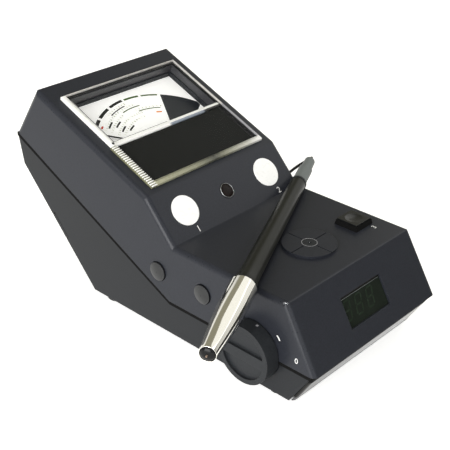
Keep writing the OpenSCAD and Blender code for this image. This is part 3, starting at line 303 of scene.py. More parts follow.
# Every CAD node that stays takes the finish of its slot in the record
slot_finish = {
    "shell": case_abs, "black_plastic": satin_abs, "gloss_black": gloss_abs, "rubber": foot_rubber,
    "steel": zinc_steel, "nickel": nickel, "copper": copper, "brass": brass, "clear": acrylic, "dial": card,
    "ceramic": ceramic, "lamp": smoked_lens, "smoke": smoked_window, "lcd": display_glass,
    "board": solder_resist, "grey_rubber": grey_rubber, "cell": cell_can, "lead": pvc_jacket,
    "magnet": cast_magnet, "pointer": black_paint,
}
node_finish = {
    "lower_shell": low_abs, "battery_door": low_abs, "rear_side_button": button_abs,
    "front_side_button": button_abs, "test_plate": case_abs, "meter_plate": plate_lacquer,
}
for part in frame["record"]["subparts"]:
    mesh = nodes[part["node"]].data
    mesh.materials.clear()
    mesh.materials.append(node_finish.get(part["node"], slot_finish[part["material_slot"]]))


# Rounded edges of the upper shell: faces that lie along none of its large flat faces
FLAT_AREA = 100e-6
FLAT_COS = math.cos(math.radians(4))
shell = nodes["upper_shell"].data
shell.materials.append(edge_abs)
flats = [face.normal.copy() for face in shell.polygons if face.area > FLAT_AREA]
for face in shell.polygons:
    if max(face.normal.dot(flat) for flat in flats) < FLAT_COS:
        face.material_index = 1


# Drawing and placing
def middle(name):
    """Centre of a CAD node's box."""
    low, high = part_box(name)
    return (low + high) / 2


def seat(at, up, right=(1, 0, 0)):
    """Matrix that takes a drawing in millimetres to a place, with its Z along up and its X near right."""
    z = Vector(up).normalized()
    x = Vector(right)
    x = (x - x.dot(z) * z).normalized()
    turn = Matrix((x, z.cross(x), z)).transposed().to_4x4()
    return Matrix.Translation(at) @ turn @ Matrix.Scale(MM, 4)


def climbing(slope):
    """Up direction of a face that climbs to the rear at a slope in degrees."""
    return Vector((0, -math.sin(math.radians(slope)), math.cos(math.radians(slope))))


def turned(profile, steps=96):
    """A drawing turned about Z from a profile of (radius, height) points."""
    bm = bmesh.new()
    rim = [bm.verts.new((radius, 0, height)) for radius, height in profile]
    edges = [bm.edges.new(pair) for pair in zip(rim, rim[1:])]
    bmesh.ops.spin(
        bm, geom=rim + edges, cent=(0, 0, 0), axis=(0, 0, 1), angle=math.tau, steps=steps, use_merge=True
    )
    bmesh.ops.remove_doubles(bm, verts=bm.verts, dist=1e-4)
    bmesh.ops.recalc_face_normals(bm, faces=bm.faces)
    return bm


def raised(bm, thickness):
    """A flat drawing, thickened upwards."""
    grown = bmesh.ops.extrude_face_region(bm, geom=bm.faces[:], use_keep_orig=True)["geom"]
    lifted = [part for part in grown if isinstance(part, bmesh.types.BMVert)]
    bmesh.ops.translate(bm, vec=(0, 0, thickness), verts=lifted)
    bmesh.ops.recalc_face_normals(bm, faces=bm.faces)
    return bm


def slab(width, length, thickness, corner, corner_steps=5):
    """A drawing of a plate with round corners, its underside at height 0."""
    bm = bmesh.new()
    bmesh.ops.create_grid(bm, x_segments=1, y_segments=1, size=0.5)
    bmesh.ops.scale(bm, vec=(width, length, 1), verts=bm.verts)
    bmesh.ops.bevel(
        bm, geom=bm.verts[:], offset=corner, segments=corner_steps, profile=0.5,
        affect="VERTICES", material=-1,
    )
    return raised(bm, thickness)


def prism(outline, thickness):
    """A drawing of a flat outline of (x, y) points, thickened upwards."""
    bm = bmesh.new()
    bm.faces.new([bm.verts.new((x, y, 0)) for x, y in outline])
    return raised(bm, thickness)


def block(x, y, z):
    """A drawing of a box between pairs of ends."""
    low, high = (Vector(corner) for corner in zip(x, y, z))
    bm = bmesh.new()
    bmesh.ops.create_cube(bm, size=1.0)
    bmesh.ops.scale(bm, vec=high - low, verts=bm.verts)
    return moved(bm, *((low + high) / 2))


def arc(radius, width, start, end, thickness):
    """A drawing of a band about the origin, between two angles in degrees to the right of straight up."""
    turn = math.radians(end - start)
    begin = math.radians(start)
    bm = bmesh.new()
    rims = (radius - width / 2, radius + width / 2)
    ends = [bm.verts.new((r * math.sin(begin), r * math.cos(begin), 0)) for r in rims]
    first = bm.edges.new(ends)
    bmesh.ops.spin(
        bm, geom=ends + [first], cent=(0, 0, 0), axis=(0, 0, -1), angle=turn, steps=math.ceil(end - start) + 2
    )
    return raised(bm, thickness)


def soften(bm, radius, sharper_than=30, steps=3):
    """Rounds the edges of a drawing that are sharper than an angle in degrees."""
    limit = math.radians(sharper_than)
    sharp = [edge for edge in bm.edges if edge.is_manifold and edge.calc_face_angle() > limit]
    bmesh.ops.bevel(
        bm, geom=sharp, offset=radius, segments=steps, profile=0.5,
        affect="EDGES", material=-1, clamp_overlap=True,
    )
    return bm


def moved(bm, x, y, z=0.0):
    """A drawing, moved."""
    bmesh.ops.translate(bm, vec=(x, y, z), verts=bm.verts)
    return bm


def joined(drawings):
    """Several drawings as one."""
    whole = bmesh.new()
    for bm in drawings:
        mesh = bpy.data.meshes.new("drawing")
        bm.to_mesh(mesh)
        bm.free()
        whole.from_mesh(mesh)
        bpy.data.meshes.remove(mesh)
    return whole


def piece(name, bm, place, material, body, replaces=(), sharp_from=40):
    """Places a drawing as a finished piece that rides on a body and may stand for CAD nodes."""
    bm.transform(place)
    mesh = bpy.data.meshes.new(name)
    bm.to_mesh(mesh)
    bm.free()
    mesh.materials.append(material)
    mesh.shade_smooth()
    mesh.set_sharp_from_angle(angle=math.radians(sharp_from))
    made = bpy.data.objects.new(name, mesh)
    scene.collection.objects.link(made)
    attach(made, body)
    if replaces:
        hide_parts(*replaces)
    return made


# Height of a numeral as a share of the font's size
NUMERAL_SHARE = 0.7


def numerals(digits, height, thickness):
    """A drawing of plain numerals, centred, standing on height 0."""
    text = bpy.data.curves.new("numerals", "FONT")
    text.body = digits
    text.size = height / NUMERAL_SHARE
    text.extrude = thickness / 2
    text.align_x = "CENTER"
    text.align_y = "CENTER"
    text.resolution_u = 3
    holder = bpy.data.objects.new("numerals", text)
    scene.collection.objects.link(holder)
    mesh = bpy.data.meshes.new_from_object(holder.evaluated_get(bpy.context.evaluated_depsgraph_get()))
    bm = bmesh.new()
    bm.from_mesh(mesh)
    bpy.data.objects.remove(holder)
    bpy.data.meshes.remove(mesh)
    bmesh.ops.remove_doubles(bm, verts=bm.verts, dist=1e-4)
    return moved(bm, 0, 0, thickness / 2)


# Lead: out of the pen's boot, down beside the right wall to a tied coil on the table, and into the gland
LEAD = 1.6
LEAD_STEPS = 6
COIL_AT = (70, 84)
COIL_R = 9
COIL_TURNS = 8.5
COIL_PITCH = 2.1
COIL_IN_R = COIL_R - COIL_PITCH * COIL_TURNS / 4
COIL_Z = 1.55
LOOP_STEPS = 48
DOWN_TO_COIL = [
    (67.4, 18.2, 50.9), (66.6, 23.6, 46.6), (66, 31, 39), (66, 37, 30), (67, 43, 19), (69, 49, 9.5),
    (72, 55, 3.5), (75.5, 61.5, 1), (79.5, 67.5, 1), (82.6, 74, 2),
]
GLAND_END = Vector((54, 58, 26))
DOWN_FROM_GLAND = [(60, 58.6, 23.5), (61, 60.5, 17), (60, 64, 10), (58.6, 68, 4.5), (57.8, 73, 2)]
PEN_ALONG = Vector(joints["tip_press"]["axis"]).normalized()
BOOT_END_T = 127.8
RING_MIDDLE_T = -0.45
pen_start = middle("probe_ring") / MM - RING_MIDDLE_T * PEN_ALONG
boot_end = pen_start + BOOT_END_T * PEN_ALONG


def eased(t):
    """Smooth step from 0 to 1."""
    t = min(max(t, 0), 1)
    return t * t * (3 - 2 * t)


def coil_point(turn):
    """One point of the coil.

    It spirals in on the lower layer, climbs, and spirals out on the upper one.
    """
    from_middle = turn - COIL_TURNS / 2
    radius = COIL_IN_R + COIL_PITCH * abs(from_middle)
    angle = math.pi - math.tau * turn
    height = COIL_Z + COIL_PITCH * eased(2 * from_middle + 0.5)
    return Vector((COIL_AT[0] + radius * math.cos(angle), COIL_AT[1] + radius * math.sin(angle), height))


def curve_through(points, steps):
    """Points of a smooth curve through chosen points, straight in its first and last span."""
    path = [points[0]]
    for a, b, c, d in zip(points, points[1:], points[2:], points[3:]):
        for step in range(steps):
            t = step / steps
            path.append(0.5 * (
                2 * b + (c - a) * t
                + (2 * a - 5 * b + 4 * c - d) * t * t
                + (3 * b - a - 3 * c + d) * t * t * t
            ))
    return path + [points[-2], points[-1]]


def lead_path():
    """The whole lead's middle line, from the pen to the case."""
    before = Vector((0, 1, 0))
    coil = [coil_point(i / LOOP_STEPS) for i in range(int(COIL_TURNS * LOOP_STEPS), -1, -1)]
    from_pen = [boot_end, boot_end + 2 * LEAD * PEN_ALONG] + [Vector(p) for p in DOWN_TO_COIL]
    from_pen += [coil[0] - 2.5 * LEAD * before, coil[0] - LEAD * before]
    to_case = [coil[-1] - LEAD * before, coil[-1] - 2.5 * LEAD * before]
    to_case += [Vector(p) for p in reversed(DOWN_FROM_GLAND)]
    to_case += [GLAND_END + Vector((2 * LEAD, 0, 0)), GLAND_END]
    whole = curve_through(from_pen, LEAD_STEPS) + coil + curve_through(to_case, LEAD_STEPS)
    return [point * MM for point in whole]


path = lead_path()
lead_curve = bpy.data.curves.new("lead", "CURVE")
lead_curve.dimensions = "3D"
lead_curve.bevel_depth = LEAD / 2 * MM
lead_curve.bevel_resolution = 3
lead_curve.use_fill_caps = True
spline = lead_curve.splines.new("POLY")
spline.points.add(len(path) - 1)
for point, at in zip(spline.points, path):
    point.co = (*at, 1)
holder = bpy.data.objects.new("lead_curve", lead_curve)
scene.collection.objects.link(holder)
lead_mesh = bpy.data.meshes.new_from_object(holder.evaluated_get(bpy.context.evaluated_depsgraph_get()))
bpy.data.objects.remove(holder)
lead_mesh.materials.clear()
lead_mesh.materials.append(pvc_jacket)
lead_mesh.shade_smooth()
lead = bpy.data.objects.new("probe_lead", lead_mesh)
scene.collection.objects.link(lead)
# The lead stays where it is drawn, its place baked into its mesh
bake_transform(lead)
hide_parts("cable_probe_end", "cable_coil", "cable_case_end")


# Faces of the case: (y, z) of the low corner of each sloping face, and its slope
FRONT_FACE = (-75.855, 20.0, 59.0)
MIDDLE_FACE = (6.65, 48.8, 47.2)
METER_FACE = (23.91, 67.44, 21.9)
PART_H = 20.0
WALL_HALF = 45.18
WALL_DRAFT = math.radians(1.7)
INK = 0.05


def on_face(face, along):
    """Place in the middle of a sloping face, a distance up it from its low corner."""
    y, z, slope = face
    up_slope = Vector((0, math.cos(math.radians(slope)), math.sin(math.radians(slope))))
    return seat((Vector((0, y, z)) + along * up_slope) * MM, climbing(slope))


def on_left_wall(y, z):
    """Place on the drafted left wall, with X to the front and Y up; z is measured along the wall."""
    outward = Vector((-math.cos(WALL_DRAFT), 0, math.sin(WALL_DRAFT)))
    at_part_line = seat(Vector((-WALL_HALF, y, PART_H)) * MM, outward, (0, -1, 0))
    return at_part_line @ Matrix.Translation((0, z - PART_H, 0))


# Painted shade in the parting groove: black bands along both walls, across the front and across the rear
GROOVE_SHADE_OUT = 44.95
GROOVE_SHADE_DEEP = 0.9
GROOVE_SHADE_TALL = 1.15
GROOVE_SHADE_SKIRT = 0.75
PART_FRONT_Y = -74.3
PART_KNEE_Y = 8.85
PART_REAR = (116.0, 71.8)
part_line = [(PART_FRONT_Y, PART_H), (PART_KNEE_Y, PART_H), PART_REAR]
strip = part_line + [(y, z - GROOVE_SHADE_TALL - GROOVE_SHADE_SKIRT) for y, z in reversed(part_line)]
for side, inner in (("left", -GROOVE_SHADE_OUT), ("right", GROOVE_SHADE_OUT - GROOVE_SHADE_DEEP)):
    along_wall = seat((inner * MM, 0, 0), (1, 0, 0), (0, 1, 0))
    piece(f"groove_shade_{side}", prism(strip, GROOVE_SHADE_DEEP), along_wall, shade_black, "case")
across = (-GROOVE_SHADE_OUT + GROOVE_SHADE_DEEP, GROOVE_SHADE_OUT - GROOVE_SHADE_DEEP)
front_strip = block(across, (PART_FRONT_Y, PART_FRONT_Y + GROOVE_SHADE_DEEP), (PART_H - GROOVE_SHADE_TALL, PART_H))
piece("groove_shade_front", front_strip, Matrix.Scale(MM, 4), shade_black, "case")
rear_y, rear_z = PART_REAR
rear_strip = block(across, (rear_y - GROOVE_SHADE_DEEP, rear_y), (rear_z - GROOVE_SHADE_TALL, rear_z))
piece("groove_shade_rear", rear_strip, Matrix.Scale(MM, 4), shade_black, "case")

# Plate on the foot of the front, with rounded ends: black under the parting line as painted shade, polished, and
# grey along its foot
SKID_TOP = Vector((0, -74.6, 18.6))
SKID_FOOT = Vector((0, -64.5, 1.85))
skid_rise = SKID_TOP - SKID_FOOT
right_end = [(41.4, 0), (42.5, 0.12), (43.4, 0.5), (44.0, 1.2)]
skid_plan = right_end + [(-x, depth) for x, depth in reversed(right_end)]
# Shares of the plate's rise at which the hem and the polished part end
HEM_END = 0.14
POLISH_END = 0.8
for name, start, end, material in (
    ("front_hem", 0, HEM_END, well_grey), ("front_skid", HEM_END, POLISH_END, mirror_abs),
    ("front_painted_shade", POLISH_END, 1, shade_black),
):
    place = seat((SKID_FOOT + start * skid_rise) * MM, skid_rise)
    piece(name, prism(skid_plan, (end - start) * skid_rise.length), place, material, "case")

# Painted shade in the slits at the ends of the battery door's grips, on both walls: thin black bands
GRIP_SLOPE = Vector((0.686, 0.727))
SLIT_INNER = 42.8
SLIT_OUTER = 44.45
SLIT = 0.4
slits = []
for high, low in (((81.3, 25.27), (83.2, 23.45)), ((90.63, 35.28), (92.6, 33.52))):
    band = [Vector(high), Vector(low), Vector(low) + SLIT * GRIP_SLOPE, Vector(high) + SLIT * GRIP_SLOPE]
    slits += [moved(prism(band, SLIT_OUTER - SLIT_INNER), 0, 0, x) for x in (-SLIT_OUTER, SLIT_INNER)]
piece("door_slit_shade", joined(slits), seat((0, 0, 0), (1, 0, 0), (0, 1, 0)), shade_black, "case")

# Rubber feet, front and rear pair: the rear pair is wider at the table than its seats
FOOT_AT = (38.1, 52.65)
FOOT_R = {-1: 4.9, 1: 5.5}
SEAT_R = 4.95
SEAT_LOW = 1.75
SEAT_HIGH = 2.6
PAD_TOP = 1.72
PAD_EDGE_IN = 0.2
PAD_EDGE_UP = 0.3
feet = []
for end, radius in FOOT_R.items():
    foot_profile = [
        (0, 0), (radius - PAD_EDGE_IN, 0), (radius, PAD_EDGE_UP), (radius, PAD_TOP),
        (SEAT_R, SEAT_LOW), (SEAT_R, SEAT_HIGH), (0, SEAT_HIGH),
    ]
    feet += [moved(turned(foot_profile, 48), side * FOOT_AT[0], end * FOOT_AT[1]) for side in (-1, 1)]
piece("foot_pads", joined(feet), Matrix.Scale(MM, 4), foot_rubber, "case", ["feet"])

# A small lighter, glossier facet on the corner of the deck, turned to mirror the overhead spot: painted highlight
HIGHLIGHT_FACET_AT = (-43.29, -57.78, 48.42)
HIGHLIGHT_FACET_UP = (-0.485, -0.355, 0.799)
HIGHLIGHT_FACET_ALONG = (0.567, -0.823, 0)
HIGHLIGHT_FACET_HALF = (1.6, 0.8, 0.1)
highlight_facet = bmesh.new()
bmesh.ops.create_uvsphere(highlight_facet, u_segments=24, v_segments=12, radius=1.0)
bmesh.ops.scale(highlight_facet, vec=HIGHLIGHT_FACET_HALF, verts=highlight_facet.verts)
piece("corner_highlight_facet", highlight_facet, seat(Vector(HIGHLIGHT_FACET_AT) * MM, HIGHLIGHT_FACET_UP, HIGHLIGHT_FACET_ALONG), corner_highlight_abs, "case")

# Panel meter: drawn about the middle of its cover, on the meter face
COVER_MIDDLE = 36.8
COVER_HALF = (37.3, 34.0)
WELL_HALF = (34.5, 31.2)
SKIRT_HALF = (35.7, 32.4)
SPLIT_Y = -4.6
EDGE_TOP = 1.75
FLANGE_TOP = 0.8
BAR_ROUND = 0.35
SMALL_ROUND = 0.2
FINE_ROUND = 0.15
meter = on_face(METER_FACE, COVER_MIDDLE)
cover_x, cover_y = COVER_HALF
well_x, well_y = WELL_HALF
skirt_x, skirt_y = SKIRT_HALF
PANE = 0.9
PANE_CORNER = 1.0
PANE_LIFT = 0.85
pane = soften(slab(2 * skirt_x, 2 * skirt_y, PANE, PANE_CORNER), SMALL_ROUND)
piece("cover_pane", moved(pane, 0, 0, PANE_LIFT), meter, acrylic, "case", ["meter_cover"])
LINER = 0.5
LINER_Z = (-4, -0.05)
liner = joined([
    block((-skirt_x, LINER - skirt_x), (-skirt_y, skirt_y), LINER_Z),
    block((skirt_x - LINER, skirt_x), (-skirt_y, skirt_y), LINER_Z),
    block((LINER - skirt_x, skirt_x - LINER), (skirt_y - LINER, skirt_y), LINER_Z),
])
piece("cover_liner", liner, meter, well_grey, "case")
# Left edge of the cover, painted pale: painted reflection
left_bar = soften(block((-cover_x, -well_x), (SPLIT_Y, cover_y), (0, EDGE_TOP)), BAR_ROUND)
piece("cover_edge_left", left_bar, meter, pale_painted_acrylic, "case")
# Bright outer edges, painted as highlight lines, with the dark flange of the cover inside them
LINE = 0.55
back_line = soften(block((-well_x, cover_x), (cover_y - LINE, cover_y), (0, EDGE_TOP)), FINE_ROUND)
right_line = soften(block((cover_x - LINE, cover_x), (SPLIT_Y, cover_y - LINE), (0, EDGE_TOP)), FINE_ROUND)
piece("cover_edge_back", joined([back_line, right_line]), meter, pale_edge, "case")
# Grey line along the right edge beside the plate: painted reflection
LOW_LINE = 0.5
low_line = soften(block((cover_x - LOW_LINE, cover_x), (-cover_y, SPLIT_Y), (0, EDGE_TOP)), SMALL_ROUND)
# Fine grey lines of painted reflection inside the well: two along its left side, and one along the rib
RIB_STEP = 1.2
RIB_END = 2.7
INNER_LINE_Z = (0.5, 0.8)
RIB_LINE_Y = (2.75, 3.0)
RIB_LINE_Z = (0.3, 0.7)
inner_lines = [
    block((-well_x + start, -well_x + end), (SPLIT_Y + RIB_END, well_y - 1), INNER_LINE_Z)
    for start, end in ((0.1, 0.4), (1.0, 1.2))
]
inner_lines.append(block((-well_x, 1), [SPLIT_Y + y for y in RIB_LINE_Y], RIB_LINE_Z))
piece("cover_lines", joined([low_line] + inner_lines), meter, grey_edge, "case")
flange = joined([
    block((-well_x, cover_x - LINE), (skirt_y, cover_y - LINE), (0, FLANGE_TOP)),
    block((skirt_x, cover_x - LINE), (-well_y, skirt_y), (0, FLANGE_TOP)),
    block((well_x, skirt_x), (-well_y, SPLIT_Y), (-0.05, 0.1)),
])
piece("cover_flange", flange, meter, gloss_abs, "case")
# Front edge, with its painted reflection running along it
front_bar = soften(block((-well_x, cover_x), (-cover_y, -well_y), (0, EDGE_TOP)), BAR_ROUND)
piece("cover_edge_front", front_bar, meter, front_edge_shades, "case")
# Front of the rib, with its painted reflection
RIB_FRONT_TOP = 0.75
rib_front = block((-well_x, skirt_x), (SPLIT_Y, SPLIT_Y + RIB_STEP), (0, RIB_FRONT_TOP))
piece("cover_rib_front", rib_front, meter, rib_shades, "case")
# Top of the rib, painted pale: painted reflection
rib_span = (SPLIT_Y + RIB_STEP, SPLIT_Y + RIB_END)
rib_top = soften(block((-well_x, cover_x - LINE), rib_span, (0, FLANGE_TOP)), FINE_ROUND)
piece("cover_rib_top", rib_top, meter, pale_painted_acrylic, "case")
# Base of the flutes, painted olive: painted reflection
FLUTE_BASE_OUT = 0.6
FLUTE_BASE_TOP = 1.1
flute_base = block((-cover_x - FLUTE_BASE_OUT, -well_x), (-cover_y, SPLIT_Y), (0, FLUTE_BASE_TOP))
flute_base = soften(flute_base, SMALL_ROUND)
piece("cover_flute_base", flute_base, meter, olive_edge, "case")
# Flutes along the left edge beside the plate, painted pale: painted reflection
FLUTES = 22
FLUTE_PITCH = (SPLIT_Y + cover_y) / FLUTES
FLUTE_WIDE = 0.62
FLUTE_OUT = 0.5
FLUTE_LOW = 1.0
flutes = []
for i in range(FLUTES):
    flute = block((-cover_x - FLUTE_OUT, -well_x), (0, FLUTE_WIDE), (FLUTE_LOW, EDGE_TOP))
    flutes.append(soften(moved(flute, 0, SPLIT_Y - FLUTE_PITCH * (i + 1)), SMALL_ROUND))
piece("cover_flutes", joined(flutes), meter, pale_painted_acrylic, "case")
# Peg: its ends from the well's side, from the split and above the face
PEG_X = (-1.6, -0.6)
PEG_Y = (0.6, 1.8)
PEG_Z = (1.6, 2.1)
peg = soften(block([-well_x + x for x in PEG_X], [SPLIT_Y + y for y in PEG_Y], PEG_Z), SMALL_ROUND)
piece("cover_peg", peg, meter, satin_abs, "case")

# Dial print: radius, width and the angles it runs between, about the pointer's pivot
PIVOT_Y = -16.1
DIAL_Z = -6.5
dial = meter @ Matrix.Translation((0, PIVOT_Y, DIAL_Z))
dial_arcs = {
    "dial_black": (ink_black, [
        (42.4, 1.8, -45, -33.2), (42.4, 1.7, -30.9, -19), (42.4, 1.5, -16.6, -4), (38.6, 0.6, -23.4, -6.5),
        (36.3, 0.9, -38.4, -30.1), (33.1, 0.9, -34.3, -25.2), (29.7, 0.9, -37.4, -28),
        (26.6, 0.9, -31.5, -21),
    ]),
    "dial_green": (ink_green, [
        (42.2, 1.2, -2.1, 10.2), (42.1, 1.0, 12.3, 25), (35.7, 0.6, -13.5, 5.2), (32.2, 0.6, 0, 22.8),
    ]),
    "dial_red": (ink_red, [(39.6, 1.0, -41.4, -38.3)]),
    "dial_orange": (ink_orange, [(29, 0.9, 16.2, 22.4)]),
}
for name, (ink, arcs) in dial_arcs.items():
    piece(name, joined([arc(*shape, INK) for shape in arcs]), dial, ink, "case")
# Rows of plain numbers: radius, the angles of the first and last number, and the numbers
DIAL_NUMBER_H = 1.1
number_rows = [
    (39.8, -24.4, -5, "12345678"), (37.3, -42, 0, "1234567890123456"), (34.4, -42.4, -17.3, "123456789"),
    (33.5, -1.2, 24, "12345678"), (30.9, -46, 1.7, "1234567890123456"), (27.9, -40.4, 0, "123456789012"),
]
numbers = []
for radius, start, end, row in number_rows:
    for i, number in enumerate(row):
        angle = math.radians(start + (end - start) * i / (len(row) - 1))
        mark = moved(numerals(number, DIAL_NUMBER_H, INK), 0, radius)
        bmesh.ops.rotate(mark, cent=(0, 0, 0), matrix=Matrix.Rotation(-angle, 3, "Z"), verts=mark.verts)
        numbers.append(mark)
piece("dial_numbers", joined(numbers), dial, ink_olive, "case")
# Wide sector at the right, cut off short of the well's side
SECTOR = (31.2, 22.4, 27.2, 57)
SECTOR_GAP = 0.2
sector = arc(*SECTOR, INK)
bmesh.ops.bisect_plane(
    sector, geom=sector.verts[:] + sector.edges[:] + sector.faces[:], plane_co=(well_x - SECTOR_GAP, 0, 0),
    plane_no=(1, 0, 0), clear_outer=True,
)
piece("dial_sector", sector, dial, ink_navy, "case")

# Display: a dark band along its top as painted shade, a thin grey line below it as painted highlight, and three
# digits that are off
LCD_UP = 15.9
LCD_SUNK = 1.0
LCD_HALF = (14.2, 7.2)
lcd = on_face(FRONT_FACE, LCD_UP) @ Matrix.Translation((0, 0, -LCD_SUNK))
lcd_x, lcd_y = LCD_HALF
top_strip = block((-lcd_x + 0.1, lcd_x - 0.1), (lcd_y - 1.15, lcd_y - 0.1), (0, INK))
piece("lcd_top_painted_shade", top_strip, lcd, gloss_abs, "case")
top_line = block((-lcd_x + 0.4, lcd_x - 0.6), (lcd_y - 1.35, lcd_y - 1.17), (0, INK))
piece("lcd_top_painted_highlight", top_line, lcd, grey_rubber, "case")
DIGIT_W = 4.1
DIGIT_H = 8.4
DIGIT_LEAN = 0.23
SEGMENT = 0.8
SEGMENT_GAP = 0.25
DIGITS_X = (-11.6, -3.5, 4.6)
DIGITS_Y = 0.5


def segment(x, y, length, upright):
    """One bar of a digit with pointed ends, centred on a place of the upright digit, then leaned."""
    end, half = length / 2 - SEGMENT_GAP, SEGMENT / 2
    outline = [
        (-end, 0), (half - end, half), (end - half, half), (end, 0), (end - half, -half), (half - end, -half),
    ]
    if upright:
        outline = [(-b, a) for a, b in outline]
    return prism([(x + a + DIGIT_LEAN * (y + b), y + b) for a, b in outline], INK)


def digit():
    """The seven bars of one digit."""
    across = [segment(0, y, DIGIT_W, False) for y in (-DIGIT_H / 2, 0, DIGIT_H / 2)]
    upright = [
        segment(x, y, DIGIT_H / 2, True)
        for x in (-DIGIT_W / 2, DIGIT_W / 2) for y in (-DIGIT_H / 4, DIGIT_H / 4)
    ]
    return joined(across + upright)


digits = joined([moved(digit(), x, DIGITS_Y) for x in DIGITS_X])
piece("lcd_digits", digits, lcd, ink_segment, "case")

# Pen: drawn along its own axis, from the ring to the tail
pen = seat(pen_start * MM, PEN_ALONG, (0, 0, 1))
RING_T = 0.9
SLEEVE_R = 6.1
SLEEVE_LEN = 48.0
SLEEVE_STRAIGHT = 10.0
MOUTH_R = 3.5
TAPER_POWER = 1.7
TAPER_STEPS = 24
LIP = 0.12
LIP_STEPS = 8
MOUTH_DEEP = 6
SEAM = 0.02
FINE_SHARP = 20
mouth_t = -RING_T - SLEEVE_LEN
taper_len = SLEEVE_LEN - SLEEVE_STRAIGHT - LIP
sleeve_profile = [(MOUTH_R - 2 * LIP, mouth_t + MOUTH_DEEP)]
for step in range(LIP_STEPS + 1):
    angle = math.pi * step / LIP_STEPS
    sleeve_profile.append((MOUTH_R - LIP - LIP * math.cos(angle), mouth_t + LIP - LIP * math.sin(angle)))
for step in range(1, TAPER_STEPS + 1):
    share = step / TAPER_STEPS
    radius = SLEEVE_R - (SLEEVE_R - MOUTH_R) * (1 - share) ** TAPER_POWER
    sleeve_profile.append((radius, mouth_t + LIP + taper_len * share))
SLEEVE_EDGE_ALONG = 0.8
SLEEVE_EDGE_IN = 0.6
SLEEVE_BORE_R = 4.0
sleeve_profile += [
    (SLEEVE_R, -RING_T - SLEEVE_EDGE_ALONG), (SLEEVE_R - SLEEVE_EDGE_IN, -RING_T - SEAM),
    (SLEEVE_BORE_R, -RING_T - SEAM),
]
piece("pen_sleeve", turned(sleeve_profile, 128), pen, nickel, "probe", ["probe_sleeve"], FINE_SHARP)
# Barrel: flared to the sleeve, and thinner to the tail
BARREL_LEN = 98.6
BARREL_BORE_R = 3.0
BARREL_TAIL_R = 3.9
flare = [(5.1, SEAM), (5.15, 0.5), (4.95, 3), (4.64, 7), (4.55, 14)]
barrel_profile = [(BARREL_BORE_R, SEAM)] + flare
barrel_profile += [(BARREL_TAIL_R, BARREL_LEN), (BARREL_BORE_R, BARREL_LEN)]
piece("pen_barrel", turned(barrel_profile, 128), pen, barrel_lacquer, "probe", ["probe_barrel"], FINE_SHARP)
NOSE_OUT = 0.9
NOSE_R = 3.22
NOSE_DEEP = 4
NOSE_ROUND_FROM = 0.6
NOSE_STEPS = 6
nose_profile = [(0, mouth_t + NOSE_DEEP), (NOSE_R, mouth_t + NOSE_DEEP)]
for step in range(NOSE_STEPS + 1):
    angle = math.pi / 2 * step / NOSE_STEPS
    along = mouth_t + NOSE_ROUND_FROM - (NOSE_OUT + NOSE_ROUND_FROM) * math.sin(angle)
    nose_profile.append((NOSE_R * math.cos(angle), along))
piece("pen_nose", turned(nose_profile, 64), pen, nose_black, "probe", ["probe_nose"])
PIN_R = 0.4
PIN_OUT = 1.7
PIN_DEEP = 3
pin_profile = [(0, mouth_t + PIN_DEEP), (PIN_R, mouth_t + PIN_DEEP), (PIN_R, mouth_t - PIN_OUT + 0.3)]
pin_profile += [(PIN_R * 0.7, mouth_t - PIN_OUT), (0, mouth_t - PIN_OUT - 0.1)]
piece("pen_tip", turned(pin_profile, 32), pen, pin_metal, "tip", ["probe_tip"])

# Black surround of the square key: sloping outside, open for the key; its black sides are painted shade
KEY_AT = (29.8, -37.55, 48.8)
surround_halves = [(5.6, 0), (6.3, 0), (5.85, 2.3), (5.6, 2.3), (5.6, 0)]
surround = turned([(math.sqrt(2) * half, height) for half, height in surround_halves], 4)
bmesh.ops.rotate(surround, cent=(0, 0, 0), matrix=Matrix.Rotation(math.pi / 4, 3, "Z"), verts=surround.verts)
piece("key_surround", surround, seat(Vector(KEY_AT) * MM, (0, 0, 1)), shade_black, "case")

# Ring and dot round the eye of the test plate
TEST_PLATE_AT = (0, -35.15, 50.0)
test_plate_top = seat(Vector(TEST_PLATE_AT) * MM, (0, 0, 1))
EYE_R = 3.4
EYE_LINE = 0.22
ring_section = [(EYE_R, 0), (EYE_R, INK), (EYE_R + EYE_LINE, INK), (EYE_R + EYE_LINE, 0), (EYE_R, 0)]
dot_section = [(0, 0), (EYE_LINE, 0), (EYE_LINE, INK), (0, INK)]
piece("eye_ring", joined([turned(ring_section), turned(dot_section)]), test_plate_top, grey_edge, "case")

# Lamp between the discs: a dark lens in a thin bright ring
LAMP_UP = 12.7
LAMP_R = 3.75
lamp_place = on_face(MIDDLE_FACE, LAMP_UP)
ring_profile = [(LAMP_R - 0.3, 0), (LAMP_R - 0.3, 0.35), (LAMP_R - 0.15, 0.45), (LAMP_R, 0.3), (LAMP_R, 0)]
piece("lamp_ring", turned(ring_profile), lamp_place, zinc_steel, "case", ["lamp_bezel"])
lens_profile = [(0, 0.3), (1.5, 0.26), (2.6, 0.18), (LAMP_R - 0.35, 0.05), (LAMP_R - 0.35, -1), (0, -1)]
piece("lamp_dome", turned(lens_profile), lamp_place, smoked_lens, "case", ["lamp_lens"])

